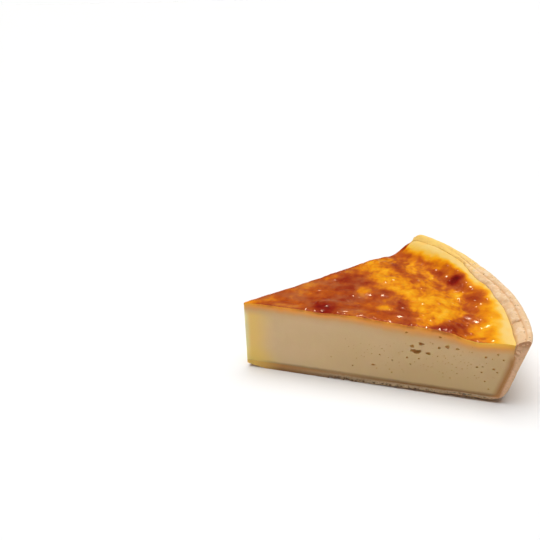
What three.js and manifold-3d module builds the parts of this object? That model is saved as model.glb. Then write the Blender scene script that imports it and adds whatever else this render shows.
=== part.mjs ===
// One slice of a custard flan: a sixth of a round flan baked in a flared tin, cut from its centre to its crust.
// Lengths are in millimetres and +Z is up. The slice points towards -X and its crust curves round at +X.
// The near cut faces -Y, the far cut faces +Y, and the slice stands on z = 0, centred on its own outline.
// Places are given by r, the distance from the centre of the flan, by z, the height above the table, and by
// turn, which runs from -1 at the near cut to +1 at the far cut.

import * as THREE from "three";
import { ImprovedNoise } from "three/addons/math/ImprovedNoise.js";
import { mergeVertices } from "three/addons/utils/BufferGeometryUtils.js";
import loadManifold from "manifold-3d";

// The whole flan
const SLICES = 6;
const RIM_RADIUS = 110; // outside of the crust at WALL_HEIGHT
const FOOT_RADIUS = 102; // where the line of the flared wall meets the table
const WALL_HEIGHT = 27.5;

// The pastry
const BASE_THICKNESS = 3;
const WALL_THICKNESS = 3.2;
const SHOULDER_NEAR = 1.6; // how much the wall thickens up to its inner edge at the near cut
const SHOULDER_FULL = 3.5; // past SETTLED_TURN, where the crust is as wide as it gets
const SHOULDER_FAR = 1.2; // and past COVERED_TURN, where the custard rose over the ledge
const SHOULDER_START = 15; // height at which it begins to thicken
const SETTLED_TURN = -0.6;
const COVERED_TURN = 0.45;
const FOOT_ROUND = 5.5;
const INNER_ROUND = 3;
const RIM_NEAR = 27.5; // crest of the rim at the near cut
const RIM_FAR = 32.4; // and at the far cut, where the crust baked higher
const RIM_WAVE = 0.7;
const RIM_WAVE_LENGTH = 1.2; // as a turn, from one low spot to the next
const RIM_LOW_SPOT = 0.1; // the turn of one low spot
const SLUMP = 1.5; // how far crust and custard edge gave way under the knife at the far cut
const SLUMP_TURN = 0.85; // where they begin to
const LIP_ROUND = 2; // rounding of the lip along the outside of the rim
const LIP_SWEEP = THREE.MathUtils.degToRad(115); // where the lip's arc ends, inside its crest
const CREASE_WIDTH = 0.5; // the crease between the lip and the ledge inside it
const CREASE_DEPTH = 0.4;
const LEDGE_NEAR_RISE = 1.4; // the ledge's inner edge above the custard's, at the near cut
const LEDGE_RISE = 0.4; // and further round
const LEDGE_DROP = 1.2; // the least that it lies below the crest of the rim
const LEDGE_PUFF = 0.5; // the ledge swells between its edges, more in some places than in others
const LEDGE_PUFFS = 9; // about as many swellings in half the width of the slice
const WALL_DENT = 0.3; // dents of the outside of the wall
const WALL_DENTS = 5; // about as many in half the width of the slice
const WALL_DENT_HEIGHT = 9;

// The custard
const CENTRE_HEIGHT = 27.8; // top of the custard at the point of the slice
const CROWN_FALL = 1.4; // how far the top falls away towards the crust
const EDGE_NEAR = 24.6; // puffed edge of the custard at the near cut
const EDGE_MIDDLE = 25.8; // at EDGE_MIDDLE_TURN
const EDGE_FAR = 31; // and past EDGE_FAR_TURN, where it climbed the crust
const EDGE_MIDDLE_TURN = -0.3;
const EDGE_FAR_TURN = 0.65;
const EDGE_CLIMB_END = 1.02; // where the climb to that edge levels out, as a share of the custard's radius
const EDGE_ROUND = 0.6; // drop of the rounded outer side of that edge
const EDGE_ROUND_START = 0.95;
const TROUGH_PLACE = 0.87; // ring where the top sank, as a share of the custard's radius
const TROUGH_SPREAD = 0.08;
const TROUGH_NEAR = 4;
const TROUGH_FAR = 1.3;
const SWELL = 0.45; // low waves of the browned top
const SWELL_LENGTH = 15;

// Clearance between the custard and the pastry
const GAP = 0.3;

// Each uneven surface takes its own layer of the noise
const TOP_LAYER = 0.5;
const WALL_LAYER = 2.5;
const LEDGE_LAYER = 4.5;

// Steps of the faceted surfaces
const COLUMNS = 48; // round the crust, and rows from the point of the slice to the crust
const ARC_STEPS = 5;
const LIP_STEPS = 6;
const WALL_STEPS = 5;
const LEDGE_STEPS = 3;
const HOLLOW_DETAIL = 1;
const WELD = 1e-3;

// Blisters of the browned top that stand out: r and turn of the middle, then radius and height
const BLISTERS = [
  [33, -0.4, 6, 0.9],
  [51, 0, 5, 0.7],
  [58, -0.1, 4, 0.6],
  [62, -0.68, 6, 0.6],
  [66, 0.35, 7, 0.5],
  [80, -0.9, 7, 1],
  [89, -0.55, 4, 0.7],
  [94, 0.15, 5, 1],
];

// Large air bubbles opened by the knife: distance along the cut, height, half width, half height
const NEAR_BUBBLES = [
  [69.9, 16.7, 2, 0.8],
  [68.3, 18.8, 0.9, 0.6],
  [71.6, 20.2, 1.1, 0.6],
  [74.5, 16.6, 0.9, 0.6],
  [81.3, 20.4, 0.8, 0.8],
];
const FAR_BUBBLES = [
  [88.2, 17.4, 1.5, 0.8],
  [84.6, 19.6, 1, 0.7],
  [77.3, 14.1, 0.9, 0.6],
  [92.5, 12.2, 0.8, 0.6],
];

// A chip out of the lower edge of the base at the near cut, and the worn point of the base
const CHIP = { along: 87.7, width: 3.2, height: 1.5, depth: 3 };
const WORN_LENGTH = 7;
const WORN_HEIGHT = 1.5;

const HALF_ANGLE = Math.PI / SLICES;
const FLARE = Math.atan2(RIM_RADIUS - FOOT_RADIUS, WALL_HEIGHT);
const { lerp, smoothstep, clamp } = THREE.MathUtils;
const noise = new ImprovedNoise();
const wasm = await loadManifold();
wasm.setup();

// A point of the slice, from its distance to the centre of the flan, its turn and its height
const place = (r, turn, z) => [r * Math.cos(turn * HALF_ANGLE), r * Math.sin(turn * HALF_ANGLE), z];

// Outside of the flared wall at a height
const outerRadius = (z) => FOOT_RADIUS + z * Math.tan(FLARE);

// How far the slice gave way towards the far cut
const slump = (turn) => SLUMP * smoothstep(turn, SLUMP_TURN, 1);

// Crest of the rim: it climbs from the near cut to the far cut, in low waves
function rimHeight(turn) {
  const climb = lerp(RIM_NEAR, RIM_FAR, (turn + 1) / 2);
  const wave = RIM_WAVE * Math.sin((Math.PI * (turn - RIM_LOW_SPOT)) / RIM_WAVE_LENGTH) ** 2;
  return climb + wave - slump(turn);
}

// Top of the custard where it meets the crust
function edgeHeight(turn) {
  const middle = lerp(EDGE_NEAR, EDGE_MIDDLE, smoothstep(turn, -1, EDGE_MIDDLE_TURN));
  return lerp(middle, EDGE_FAR, smoothstep(turn, EDGE_MIDDLE_TURN, EDGE_FAR_TURN)) - slump(turn);
}

// How far the crust has settled into its full width, from 0 at the near cut to 1
const settled = (turn) => smoothstep(turn, -1, SETTLED_TURN);

// Inner edge of the ledge on the rim, which the custard leaves uncovered
function ledgeHeight(turn) {
  const rise = lerp(LEDGE_NEAR_RISE, LEDGE_RISE, settled(turn));
  return Math.min(edgeHeight(turn) + rise, rimHeight(turn) - LEDGE_DROP);
}

// Inside of the wall at a height
function innerRadius(turn, z) {
  const bare = lerp(SHOULDER_NEAR, SHOULDER_FULL, settled(turn));
  const shoulder = lerp(bare, SHOULDER_FAR, smoothstep(turn, 0, COVERED_TURN));
  return outerRadius(z) - WALL_THICKNESS - shoulder * smoothstep(z, SHOULDER_START, ledgeHeight(turn));
}

// Radius of the custard at its top edge
const edgeRadius = (turn) => innerRadius(turn, edgeHeight(turn)) - GAP / Math.cos(FLARE);

// Browned top of the custard, at a share of the way from the point to the crust
function topHeight(share, turn) {
  const crown = CENTRE_HEIGHT - CROWN_FALL * share ** 2;
  const sunk = lerp(TROUGH_NEAR, TROUGH_FAR, (turn + 1) / 2);
  const trough = sunk * Math.exp(-(((share - TROUGH_PLACE) / TROUGH_SPREAD) ** 2));
  const rise = edgeHeight(turn) - (CENTRE_HEIGHT - CROWN_FALL);
  const climb = rise * smoothstep(share, TROUGH_PLACE, EDGE_CLIMB_END);
  const rounding = EDGE_ROUND * clamp((share - EDGE_ROUND_START) / (1 - EDGE_ROUND_START), 0, 1) ** 2;
  const [x, y] = place(share * RIM_RADIUS, turn, 0);
  const swell = SWELL * noise.noise(x / SWELL_LENGTH, y / SWELL_LENGTH, TOP_LAYER);
  let blisters = 0;
  for (const [r, side, radius, height] of BLISTERS) {
    const [middleX, middleY] = place(r, side, 0);
    const away = Math.hypot(x - middleX, y - middleY) / radius;
    blisters += height * Math.exp(-2 * away ** 2);
  }
  return crown - trough + climb - rounding + swell + blisters;
}

// Adds the points of an arc to an outline, both ends included
function addArc(outline, [r, z], radius, from, to, steps) {
  for (let step = 0; step <= steps; step += 1) {
    const angle = lerp(from, to, step / steps);
    outline.push([r + radius * Math.cos(angle), z + radius * Math.sin(angle)]);
  }
}

// Adds points between two heights of a wall, both ends left out
function addWall(outline, from, to, radiusAt) {
  for (let step = 1; step < WALL_STEPS; step += 1) {
    const z = lerp(from, to, step / WALL_STEPS);
    outline.push([radiusAt(z), z]);
  }
}

// The rounded corner between the wall and the base inside the shell, from the wall down
function addInnerCorner(outline, radius) {
  const z = BASE_THICKNESS + INNER_ROUND;
  const r = outerRadius(z) - WALL_THICKNESS - INNER_ROUND / Math.cos(FLARE);
  addArc(outline, [r, z], radius, -FLARE, -Math.PI / 2, ARC_STEPS);
}

// Height at which the inner wall runs into that corner
const CORNER_HEIGHT = BASE_THICKNESS + INNER_ROUND * (1 - Math.sin(FLARE));

// Section of the crust: from the underside round the foot, up the wall, over the rim and down to the base
function crustSection(turn) {
  const section = [];
  const footInset = (FOOT_ROUND * (1 - Math.sin(FLARE))) / Math.cos(FLARE);
  addArc(section, [FOOT_RADIUS - footInset, FOOT_ROUND], FOOT_ROUND, -Math.PI / 2, -FLARE, ARC_STEPS);

  const crest = rimHeight(turn);
  const lipHeight = crest - LIP_ROUND;
  const lipRadius = outerRadius(lipHeight) - LIP_ROUND / Math.cos(FLARE);
  const wallTop = lipHeight - LIP_ROUND * Math.sin(FLARE);
  const dent = (z) => WALL_DENT * noise.noise(turn * WALL_DENTS, z / WALL_DENT_HEIGHT, WALL_LAYER);
  addWall(section, FOOT_ROUND * (1 - Math.sin(FLARE)), wallTop, (z) => outerRadius(z) + dent(z));
  addArc(section, [lipRadius, lipHeight], LIP_ROUND, -FLARE, LIP_SWEEP, LIP_STEPS);

  const [lipEndR, lipEndZ] = section.at(-1);
  const crease = [lipEndR - CREASE_WIDTH, lipEndZ - CREASE_DEPTH];
  section.push(crease);
  const ledge = ledgeHeight(turn);
  const ledgeRadius = innerRadius(turn, ledge);
  for (let step = 1; step <= LEDGE_STEPS; step += 1) {
    const share = step / LEDGE_STEPS;
    const uneven = 1 + noise.noise(turn * LEDGE_PUFFS, share, LEDGE_LAYER);
    const puff = LEDGE_PUFF * Math.sin(share * Math.PI) * uneven;
    section.push([lerp(crease[0], ledgeRadius, share), lerp(crease[1], ledge, share) + puff]);
  }

  addWall(section, ledge, CORNER_HEIGHT, (z) => innerRadius(turn, z));
  addInnerCorner(section, INNER_ROUND);
  return section;
}

// Side of the custard that lies against the crust, from its top edge down to the base
function custardSide(turn) {
  const side = [[edgeRadius(turn), topHeight(1, turn)]];
  addWall(side, side[0][1], CORNER_HEIGHT, (z) => innerRadius(turn, z) - GAP / Math.cos(FLARE));
  addInnerCorner(side, INNER_ROUND - GAP);
  return side;
}

// Gathers the triangles of a closed surface by their corner points
class Surface {
  corners = [];

  triangle(a, b, c) {
    this.corners.push(...a, ...b, ...c);
  }

  // A band round the crust: one section a column, each running upwards as seen from outside
  band(sections) {
    for (let column = 0; column < COLUMNS; column += 1) {
      const [left, right] = [sections[column], sections[column + 1]];
      for (let row = 0; row + 1 < left.length; row += 1) {
        this.triangle(left[row], right[row], right[row + 1]);
        this.triangle(left[row], right[row + 1], left[row + 1]);
      }
    }
  }

  // A flat sector between the point of the slice and an arc, facing down or up
  fan(tip, arc, facesDown) {
    for (let column = 0; column < COLUMNS; column += 1) {
      const [first, second] = facesDown ? [column + 1, column] : [column, column + 1];
      this.triangle(tip, arc[first], arc[second]);
    }
  }

  // A lattice of even triangles over the sector, with one more point in each row away from the tip
  lattice(pointAt) {
    const point = (row, step) => pointAt(row / COLUMNS, row === 0 ? 0 : (2 * step) / row - 1);
    for (let row = 0; row < COLUMNS; row += 1) {
      for (let step = 0; step <= row; step += 1) {
        this.triangle(point(row, step), point(row + 1, step), point(row + 1, step + 1));
        if (step < row) {
          this.triangle(point(row, step), point(row + 1, step + 1), point(row, step + 1));
        }
      }
    }
  }

  // A flat cut face: its outline as [r, z] points, anticlockwise with r to the right
  cut(outline, turn) {
    const flat = outline.map(([r, z]) => new THREE.Vector2(r, z));
    for (const face of THREE.ShapeUtils.triangulateShape(flat, [])) {
      const anticlockwise = THREE.ShapeUtils.area(face.map((index) => flat[index])) > 0;
      const corners = face.map((index) => place(outline[index][0], turn, outline[index][1]));
      this.triangle(...(anticlockwise === turn < 0 ? corners : corners.reverse()));
    }
  }

  geometry() {
    const loose = new THREE.BufferGeometry();
    loose.setAttribute("position", new THREE.Float32BufferAttribute(this.corners, 3));
    return mergeVertices(loose, WELD);
  }
}

// The turn of each column round the crust
const TURNS = Array.from({ length: COLUMNS + 1 }, (_, column) => (2 * column) / COLUMNS - 1);

// A solid that can be cut, from a closed geometry
function solidFrom(geometry) {
  const bare = geometry.clone();
  bare.deleteAttribute("normal");
  bare.deleteAttribute("uv");
  const welded = mergeVertices(bare, WELD);
  const vertProperties = Float32Array.from(welded.attributes.position.array);
  const triVerts = Uint32Array.from(welded.index.array);
  return new wasm.Manifold(new wasm.Mesh({ numProp: 3, vertProperties, triVerts }));
}

// The geometry of a cut solid
function geometryFrom(solid) {
  const { vertProperties, triVerts } = solid.getMesh();
  const geometry = new THREE.BufferGeometry();
  geometry.setAttribute("position", new THREE.BufferAttribute(vertProperties, 3));
  geometry.setIndex(new THREE.BufferAttribute(triVerts, 1));
  geometry.computeVertexNormals();
  return geometry;
}

// An egg-shaped hollow centred on a cut face
function hollow(turn, along, z, halfWidth, halfHeight, halfDepth) {
  const egg = new THREE.IcosahedronGeometry(1, HOLLOW_DETAIL);
  egg.scale(halfWidth, halfDepth, halfHeight);
  egg.rotateZ(turn * HALF_ANGLE);
  egg.translate(...place(along, turn, z));
  return solidFrom(egg);
}

// The shell: base and wall in one, with a chip out of its lower edge and its point worn away underneath
function pastryShell() {
  const sections = TURNS.map(crustSection);
  const surface = new Surface();
  const onArc = (sectionIndex) => TURNS.map((turn, i) => {
    const [r, z] = sections[i].at(sectionIndex);
    return place(r, turn, z);
  });
  surface.band(sections.map((section, i) => section.map(([r, z]) => place(r, TURNS[i], z))));
  surface.fan([0, 0, 0], onArc(0), true);
  surface.fan([0, 0, BASE_THICKNESS], onArc(-1), false);
  surface.cut([[0, 0], ...sections[0], [0, BASE_THICKNESS]], -1);
  surface.cut([[0, 0], ...sections[COLUMNS], [0, BASE_THICKNESS]], 1);

  const chip = hollow(-1, CHIP.along, 0, CHIP.width / 2, CHIP.height, CHIP.depth);
  const wedge = new THREE.BoxGeometry(4 * WORN_LENGTH, 4 * WORN_LENGTH, WORN_LENGTH);
  wedge.translate(0, 0, -WORN_LENGTH / 2);
  wedge.rotateY(Math.atan2(WORN_HEIGHT, WORN_LENGTH));
  wedge.translate(0, 0, WORN_HEIGHT);
  return geometryFrom(solidFrom(surface.geometry()).subtract(chip).subtract(solidFrom(wedge)));
}

// The custard that fills the shell, with its uneven browned top and the bubbles opened by the knife
function custardFilling() {
  const sides = TURNS.map(custardSide);
  const floor = BASE_THICKNESS + GAP;
  const surface = new Surface();
  surface.lattice((share, turn) => place(share * edgeRadius(turn), turn, topHeight(share, turn)));
  surface.band(sides.map((side, i) => side.map(([r, z]) => place(r, TURNS[i], z)).reverse()));
  surface.fan([0, 0, floor], sides.map((side, i) => place(side.at(-1)[0], TURNS[i], floor)), true);
  for (const [turn, side] of [[-1, sides[0]], [1, sides[COLUMNS]]]) {
    const outline = [[0, floor], ...side.toReversed()];
    for (let row = COLUMNS - 1; row >= 0; row -= 1) {
      const share = row / COLUMNS;
      outline.push([share * edgeRadius(turn), topHeight(share, row === 0 ? 0 : turn)]);
    }
    surface.cut(outline, turn);
  }

  let solid = solidFrom(surface.geometry());
  for (const [turn, bubbles] of [[-1, NEAR_BUBBLES], [1, FAR_BUBBLES]]) {
    for (const [along, z, halfWidth, halfHeight] of bubbles) {
      solid = solid.subtract(hollow(turn, along, z, halfWidth, halfHeight, halfWidth));
    }
  }
  return geometryFrom(solid);
}

// Colours and roughness of the two pieces
const PASTRY = { color: 0xe3bf90, roughness: 0.85 };
const CUSTARD = { color: 0xe6cb8c, roughness: 0.45 };

// A named piece of the slice
function piece(name, geometry, finish) {
  const mesh = new THREE.Mesh(geometry, new THREE.MeshStandardMaterial({ ...finish, metalness: 0 }));
  mesh.name = name;
  return mesh;
}

const flan = new THREE.Group();
flan.add(piece("pastry_shell", pastryShell(), PASTRY));
flan.add(piece("custard", custardFilling(), CUSTARD));

// The slice stands on the table, centred on its own outline
const outline = new THREE.Box3().setFromObject(flan);
const middle = outline.getCenter(new THREE.Vector3());
flan.position.set(-middle.x, -middle.y, -outline.min.z);

export default flan;
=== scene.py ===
"""A slice of baked custard flan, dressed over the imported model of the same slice.

Lengths are in millimetres, and meshes are made in metres. A place on the slice is given by r, its distance
from the centre of the flan, z, its height above the table, and turn, which runs from -1 at the near cut to
+1 at the far cut. From the point of the slice, x runs to the middle of the crust and y to the far cut. A span
is a pair of numbers: something is absent at the first and there in full at the second.
"""

import logging
import math
from dataclasses import dataclass, field
from enum import Enum, IntEnum
from itertools import product
from typing import ClassVar

import bmesh
import bpy
import numpy as np
from mathutils import Matrix, Vector
from mathutils.geometry import delaunay_2d_cdt


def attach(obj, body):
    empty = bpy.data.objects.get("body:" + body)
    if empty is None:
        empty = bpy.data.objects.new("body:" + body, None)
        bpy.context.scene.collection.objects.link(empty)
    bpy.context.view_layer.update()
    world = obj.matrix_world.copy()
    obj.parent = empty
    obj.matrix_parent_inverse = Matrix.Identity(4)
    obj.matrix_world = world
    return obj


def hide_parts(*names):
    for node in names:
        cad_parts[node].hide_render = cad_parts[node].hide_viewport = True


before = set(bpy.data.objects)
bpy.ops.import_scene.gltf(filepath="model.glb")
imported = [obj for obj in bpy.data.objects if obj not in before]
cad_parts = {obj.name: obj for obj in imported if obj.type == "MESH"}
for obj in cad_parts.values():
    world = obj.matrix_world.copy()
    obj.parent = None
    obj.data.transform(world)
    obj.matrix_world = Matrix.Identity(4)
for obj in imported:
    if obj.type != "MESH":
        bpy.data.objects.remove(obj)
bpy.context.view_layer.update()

Array = np.ndarray
Colour = tuple[float, float, float, float]
Span = tuple[float, float]
Knots = tuple[tuple[float, float], ...]
Rows = list[tuple[Array | float, ...]]
Triple = tuple[float, float, float]
Stops = tuple[tuple[float, Colour], ...]

LOG = logging.getLogger("flan")
METRES = 0.001
BODY = "root"
CDT_TOLERANCE = 1e-5
WELD_STEPS = 1e4
SHORTEST = 1e-12
ON_CUT = 0.02
SHARP_ANGLE = math.radians(58)
CORNER_STEPS = 5
POINT_UNEVENNESS = 0.18
POINT_CLEARANCE = 0.6
FLAT = np.array([1.0, 1.0, 0.0])


def ease(values: Array, start: float, end: float) -> Array:
    """Eases values from 0 at start to 1 at end, which may lie below start."""
    share = np.clip((values - start) / (end - start), 0.0, 1.0)
    return share * share * (3.0 - 2.0 * share)


def blend(first: Array, second: Array, share: Array) -> Array:
    """Goes from first to second as share goes from 0 to 1."""
    return first + (second - first) * share


def fading(values: Array, reach: float) -> Array:
    """Falls from 1 at 0 to 0 at reach, faster at first."""
    return np.clip(1.0 - values / reach, 0.0, 1.0) ** 2


def hill(values: Array, middle: float, spread: float) -> Array:
    """Rises to 1 at middle and falls off within spread to either side."""
    return np.exp(-(((values - middle) / spread) ** 2))


def through(values: Array, knots: Knots) -> Array:
    """Eases from knot to knot.

    Args:
        values: where to look.
        knots: places, in order, and the height at each.

    Returns:
        Heights at the values.
    """
    places, heights = np.array(knots).T
    index = np.clip(np.searchsorted(places, values) - 1, 0, len(places) - 2)
    share = (values - places[index]) / (places[index + 1] - places[index])
    return blend(heights[index], heights[index + 1], ease(share, 0.0, 1.0))


def tint(red: int, green: int, blue: int) -> Colour:
    """Turns a colour in screen steps of 0 to 255 into the linear one that shaders use.

    Args:
        red: step of the red channel.
        green: step of the green channel.
        blue: step of the blue channel.

    Returns:
        Linear red, green and blue, and a full alpha.
    """
    linear = []
    for step in (red, green, blue):
        value = step / 255.0
        linear.append(value / 12.92 if value <= 0.04045 else ((value + 0.055) / 1.055) ** 2.4)
    return (linear[0], linear[1], linear[2], 1.0)


def new_object(name: str, data: bpy.types.ID) -> bpy.types.Object:
    """Makes an object of a mesh, a light or a camera and links it to the scene.

    Args:
        name: name of the object.
        data: what it shows.

    Returns:
        The object.
    """
    made = bpy.data.objects.new(name, data)
    bpy.context.scene.collection.objects.link(made)
    return made


class Cut(Enum):
    """The two faces that the knife left, by their turn."""

    NEAR = -1.0
    FAR = 1.0

    def facing_out(self, faces: Array) -> Array:
        """Turns triangles that were drawn with r to the right so that they look out of the slice."""
        return faces if self is Cut.NEAR else faces[:, ::-1]


class Face(IntEnum):
    """The two kinds of surface on a piece, in the order of its materials."""

    BAKED = 0
    CUT = 1


class Slot(Enum):
    """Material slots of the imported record."""

    PASTRY = "baked_pastry"
    CUSTARD = "set_custard"


class Grain:
    """Smooth seeded noise in space, for relief and mottling."""

    CELLS = 256
    LAYER_SHIFT = 37.0

    def __init__(self, seed: int) -> None:
        """Draws the noise's slopes from a seed.

        Args:
            seed: the seed.
        """
        rng = np.random.default_rng(seed)
        self.order = rng.permutation(self.CELLS)
        slopes = rng.normal(size=(self.CELLS, 3))
        self.slopes = slopes / np.linalg.norm(slopes, axis=1)[:, None]

    def at(self, places: Array, size: float) -> Array:
        """Gives one layer of noise.

        Args:
            places: points in space, one a row.
            size: distance from one swelling to the next.

        Returns:
            Numbers about 0, mostly between -0.6 and 0.6.
        """
        scaled = places / size
        cell = np.floor(scaled).astype(int)
        inside = scaled - cell
        fade = inside**3 * (inside * (inside * 6.0 - 15.0) + 10.0)
        total = np.zeros(len(places))
        for corner in product((0, 1), repeat=3):
            index = np.zeros(len(places), dtype=int)
            for key in ((cell + corner) % self.CELLS).T:
                index = self.order[(index + key) % self.CELLS]
            weight = np.prod(np.where(np.array(corner) == 1, fade, 1.0 - fade), axis=1)
            total += weight * np.einsum("ij,ij->i", self.slopes[index], inside - corner)
        return total

    def layered(self, places: Array, size: float, layers: int) -> Array:
        """Adds up finer and finer layers of noise, each half as strong as the last.

        Args:
            places: points in space, one a row.
            size: size of the coarsest layer.
            layers: how many layers there are.

        Returns:
            Numbers about 0.
        """
        total = np.zeros(len(places))
        for layer in range(layers):
            total += self.at(places + self.LAYER_SHIFT * layer, size / 2.0**layer) / 2.0**layer
        return total


@dataclass(frozen=True)
class Noise:
    """Noise of a strength: the size of its coarsest layer, and how many layers it has."""

    strength: float
    size: float
    layers: int = 1

    def at(self, grain: Grain, places: Array) -> Array:
        """Gives numbers about 0 at points in space."""
        return self.strength * grain.layered(places, self.size, self.layers)


@dataclass(frozen=True)
class SlicePlan:
    """Sizes that the crust and the custard share."""

    half_angle: float = math.radians(30)
    foot_radius: float = 102.0
    rim_radius: float = 110.0
    wall_height: float = 27.5
    wall_thickness: float = 3.2
    base_thickness: float = 3.0
    inner_round: float = 3.0
    shoulder_start: float = 15.0
    covered_turns: Span = (0.1, 0.65)
    # turn, and how far the crust swells inward at its top
    shoulders: Knots = (
        (-1, 2.2), (-0.82, 3.2), (-0.5, 3.7), (-0.25, 3.8), (-0.12, 3.2), (-0.05, 3.2), (0.06, 4.3),
        (0.2, 3.9), (0.27, 3.2), (0.37, 1.9), (0.46, 1.7), (0.62, 1.4), (1, 1.2),
    )
    rim_near: float = 27.5
    rim_far: float = 32.6
    rim_wave: float = 0.7
    rim_wave_near: float = 0.15
    rim_sag: float = 0.9
    rim_wave_length: float = 1.2
    rim_low_spot: float = 0.1
    slump_depth: float = 1.5
    slump_turn: float = 0.925
    # turn, and the height of the custard's top edge
    edges: Knots = ((-1, 25.3), (-0.3, 26.7), (0.8, 30.7), (1, 30.7))
    # turn, and how far the ledge stands above that edge
    ledge_rises: Knots = ((-1, 0.45), (-0.6, 0.05), (1, 0.05))
    ledge_drop: float = 1.0
    # turn, and how far the custard's top edge stands off the crust, less than 0 where it laps onto the ledge
    gaps: Knots = ((-1, 0.08), (-0.6, 0.08), (-0.45, -0.12), (0.24, -0.12), (0.38, 0.08), (1, 0.08))

    @property
    def flare(self) -> float:
        """Angle of the wall away from upright."""
        return math.atan2(self.rim_radius - self.foot_radius, self.wall_height)

    @property
    def corner_height(self) -> float:
        """Height at which the inner wall runs into the rounded corner at the base."""
        return self.base_thickness + self.inner_round * (1.0 - math.sin(self.flare))

    def place(self, r: Array, turn: Array, z: Array) -> Array:
        """Gives points of the slice.

        Args:
            r: distances from the centre of the flan.
            turn: turns.
            z: heights.

        Returns:
            Points, one a row.
        """
        r, turn, z = np.broadcast_arrays(r, turn, z)
        angle = turn * self.half_angle
        return np.stack([r * np.cos(angle), r * np.sin(angle), z], axis=-1)

    def outward(self, cut: Cut) -> Array:
        """Direction that a cut face looks in."""
        return np.array([-math.sin(self.half_angle), cut.value * math.cos(self.half_angle), 0.0])

    def along_rim(self, turn: Array) -> Array:
        """Distance along the rim from its middle."""
        return turn * self.half_angle * self.rim_radius

    def outer_radius(self, z: Array) -> Array:
        """Outside of the flared wall at a height."""
        return self.foot_radius + z * math.tan(self.flare)

    def slump(self, turn: Array) -> Array:
        """How far the slice gave way under the knife towards the far cut."""
        given = np.clip((turn - self.slump_turn) / (1.0 - self.slump_turn), 0.0, 1.0)
        return self.slump_depth * given**2

    def rim_height(self, turn: Array) -> Array:
        """Gives the crest of the rim, which climbs to the far cut in low waves.

        Args:
            turn: turns along the rim.

        Returns:
            Heights of the crest.
        """
        climb = blend(self.rim_near, self.rim_far, (turn + 1.0) / 2.0)
        wave = np.sin(np.pi * (turn - self.rim_low_spot) / self.rim_wave_length) ** 2
        height = np.where(turn > self.rim_low_spot, self.rim_wave, self.rim_wave_near)
        return climb + height * wave - self.rim_sag * (1.0 - turn**2) - self.slump(turn)

    def edge_height(self, turn: Array) -> Array:
        """Top of the custard where it meets the crust."""
        return through(turn, self.edges) - self.slump(turn)

    def covered(self, turn: Array) -> Array:
        """How far the custard has risen over the ledge, from 0 to 1."""
        return ease(turn, *self.covered_turns)

    def ledge_height(self, turn: Array) -> Array:
        """Inner edge of the ledge on the rim, which the custard leaves uncovered."""
        lowest = self.edge_height(turn) + through(turn, self.ledge_rises)
        return np.minimum(lowest, self.rim_height(turn) - self.ledge_drop)

    def inner_radius(self, turn: Array, z: Array) -> Array:
        """Inside of the wall at a height."""
        swelling = ease(z, self.shoulder_start, self.ledge_height(turn))
        return self.outer_radius(z) - self.wall_thickness - through(turn, self.shoulders) * swelling

    def gap(self, turn: Array) -> Array:
        """How far the custard stands off the crust at its top edge."""
        return through(turn, self.gaps)

    def edge_radius(self, turn: Array) -> Array:
        """Radius of the custard at its top edge."""
        return self.inner_radius(turn, self.edge_height(turn)) - self.gap(turn) / math.cos(self.flare)

    def corner_arc(self, radius: float) -> tuple[Array, Array]:
        """Gives the rounded inner corner of the shell, from the wall down to the base.

        Args:
            radius: radius of the arc.

        Returns:
            The r and the z of its points.
        """
        z = self.base_thickness + self.inner_round
        r = self.outer_radius(z) - self.wall_thickness - self.inner_round / math.cos(self.flare)
        angle = np.linspace(-self.flare, -math.pi / 2.0, CORNER_STEPS + 1)
        return r + radius * np.cos(angle), z + radius * np.sin(angle)

    def sector_rim(self, line: Array, arc: Array, z: float) -> Array:
        """Gives the outline of a flat sector.

        Args:
            line: r of points along the cuts.
            arc: points along the crust, from the near cut to the far one.
            z: height of the sector.

        Returns:
            Points along it, anticlockwise from the point of the slice.
        """
        near = self.place(line, Cut.NEAR.value, z)
        far = self.place(line[::-1], Cut.FAR.value, z)
        rim = np.concatenate([[[0.0, 0.0, z]], near, arc, far])
        rim[:, 2] = z
        return rim

    def from_cut(self, points: Array, cut: Cut) -> Array:
        """Distance of points behind a cut face."""
        return -points @ self.outward(cut)


def fill_outline(outline: Array, inner: Array) -> Array:
    """Covers the inside of a flat outline with triangles through points inside it.

    Args:
        outline: points along the outline, anticlockwise, two numbers each.
        inner: points inside it.

    Returns:
        Anticlockwise triangles, which count the outline's points and then the inner ones.
    """
    flat = np.concatenate([outline, inner])
    ring = list(range(len(outline)))
    made = delaunay_2d_cdt([Vector(point) for point in flat], [], [ring], 1, CDT_TOLERANCE)
    origin = [sources[0] for sources in made[3]]
    faces = np.array([[origin[corner] for corner in face] for face in made[2]])
    first, second, third = (flat[faces[:, corner]] for corner in range(3))
    area = np.cross(second - first, third - first)
    faces[area < 0] = faces[area < 0][:, ::-1]
    return faces[np.abs(area) > 0]


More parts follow.
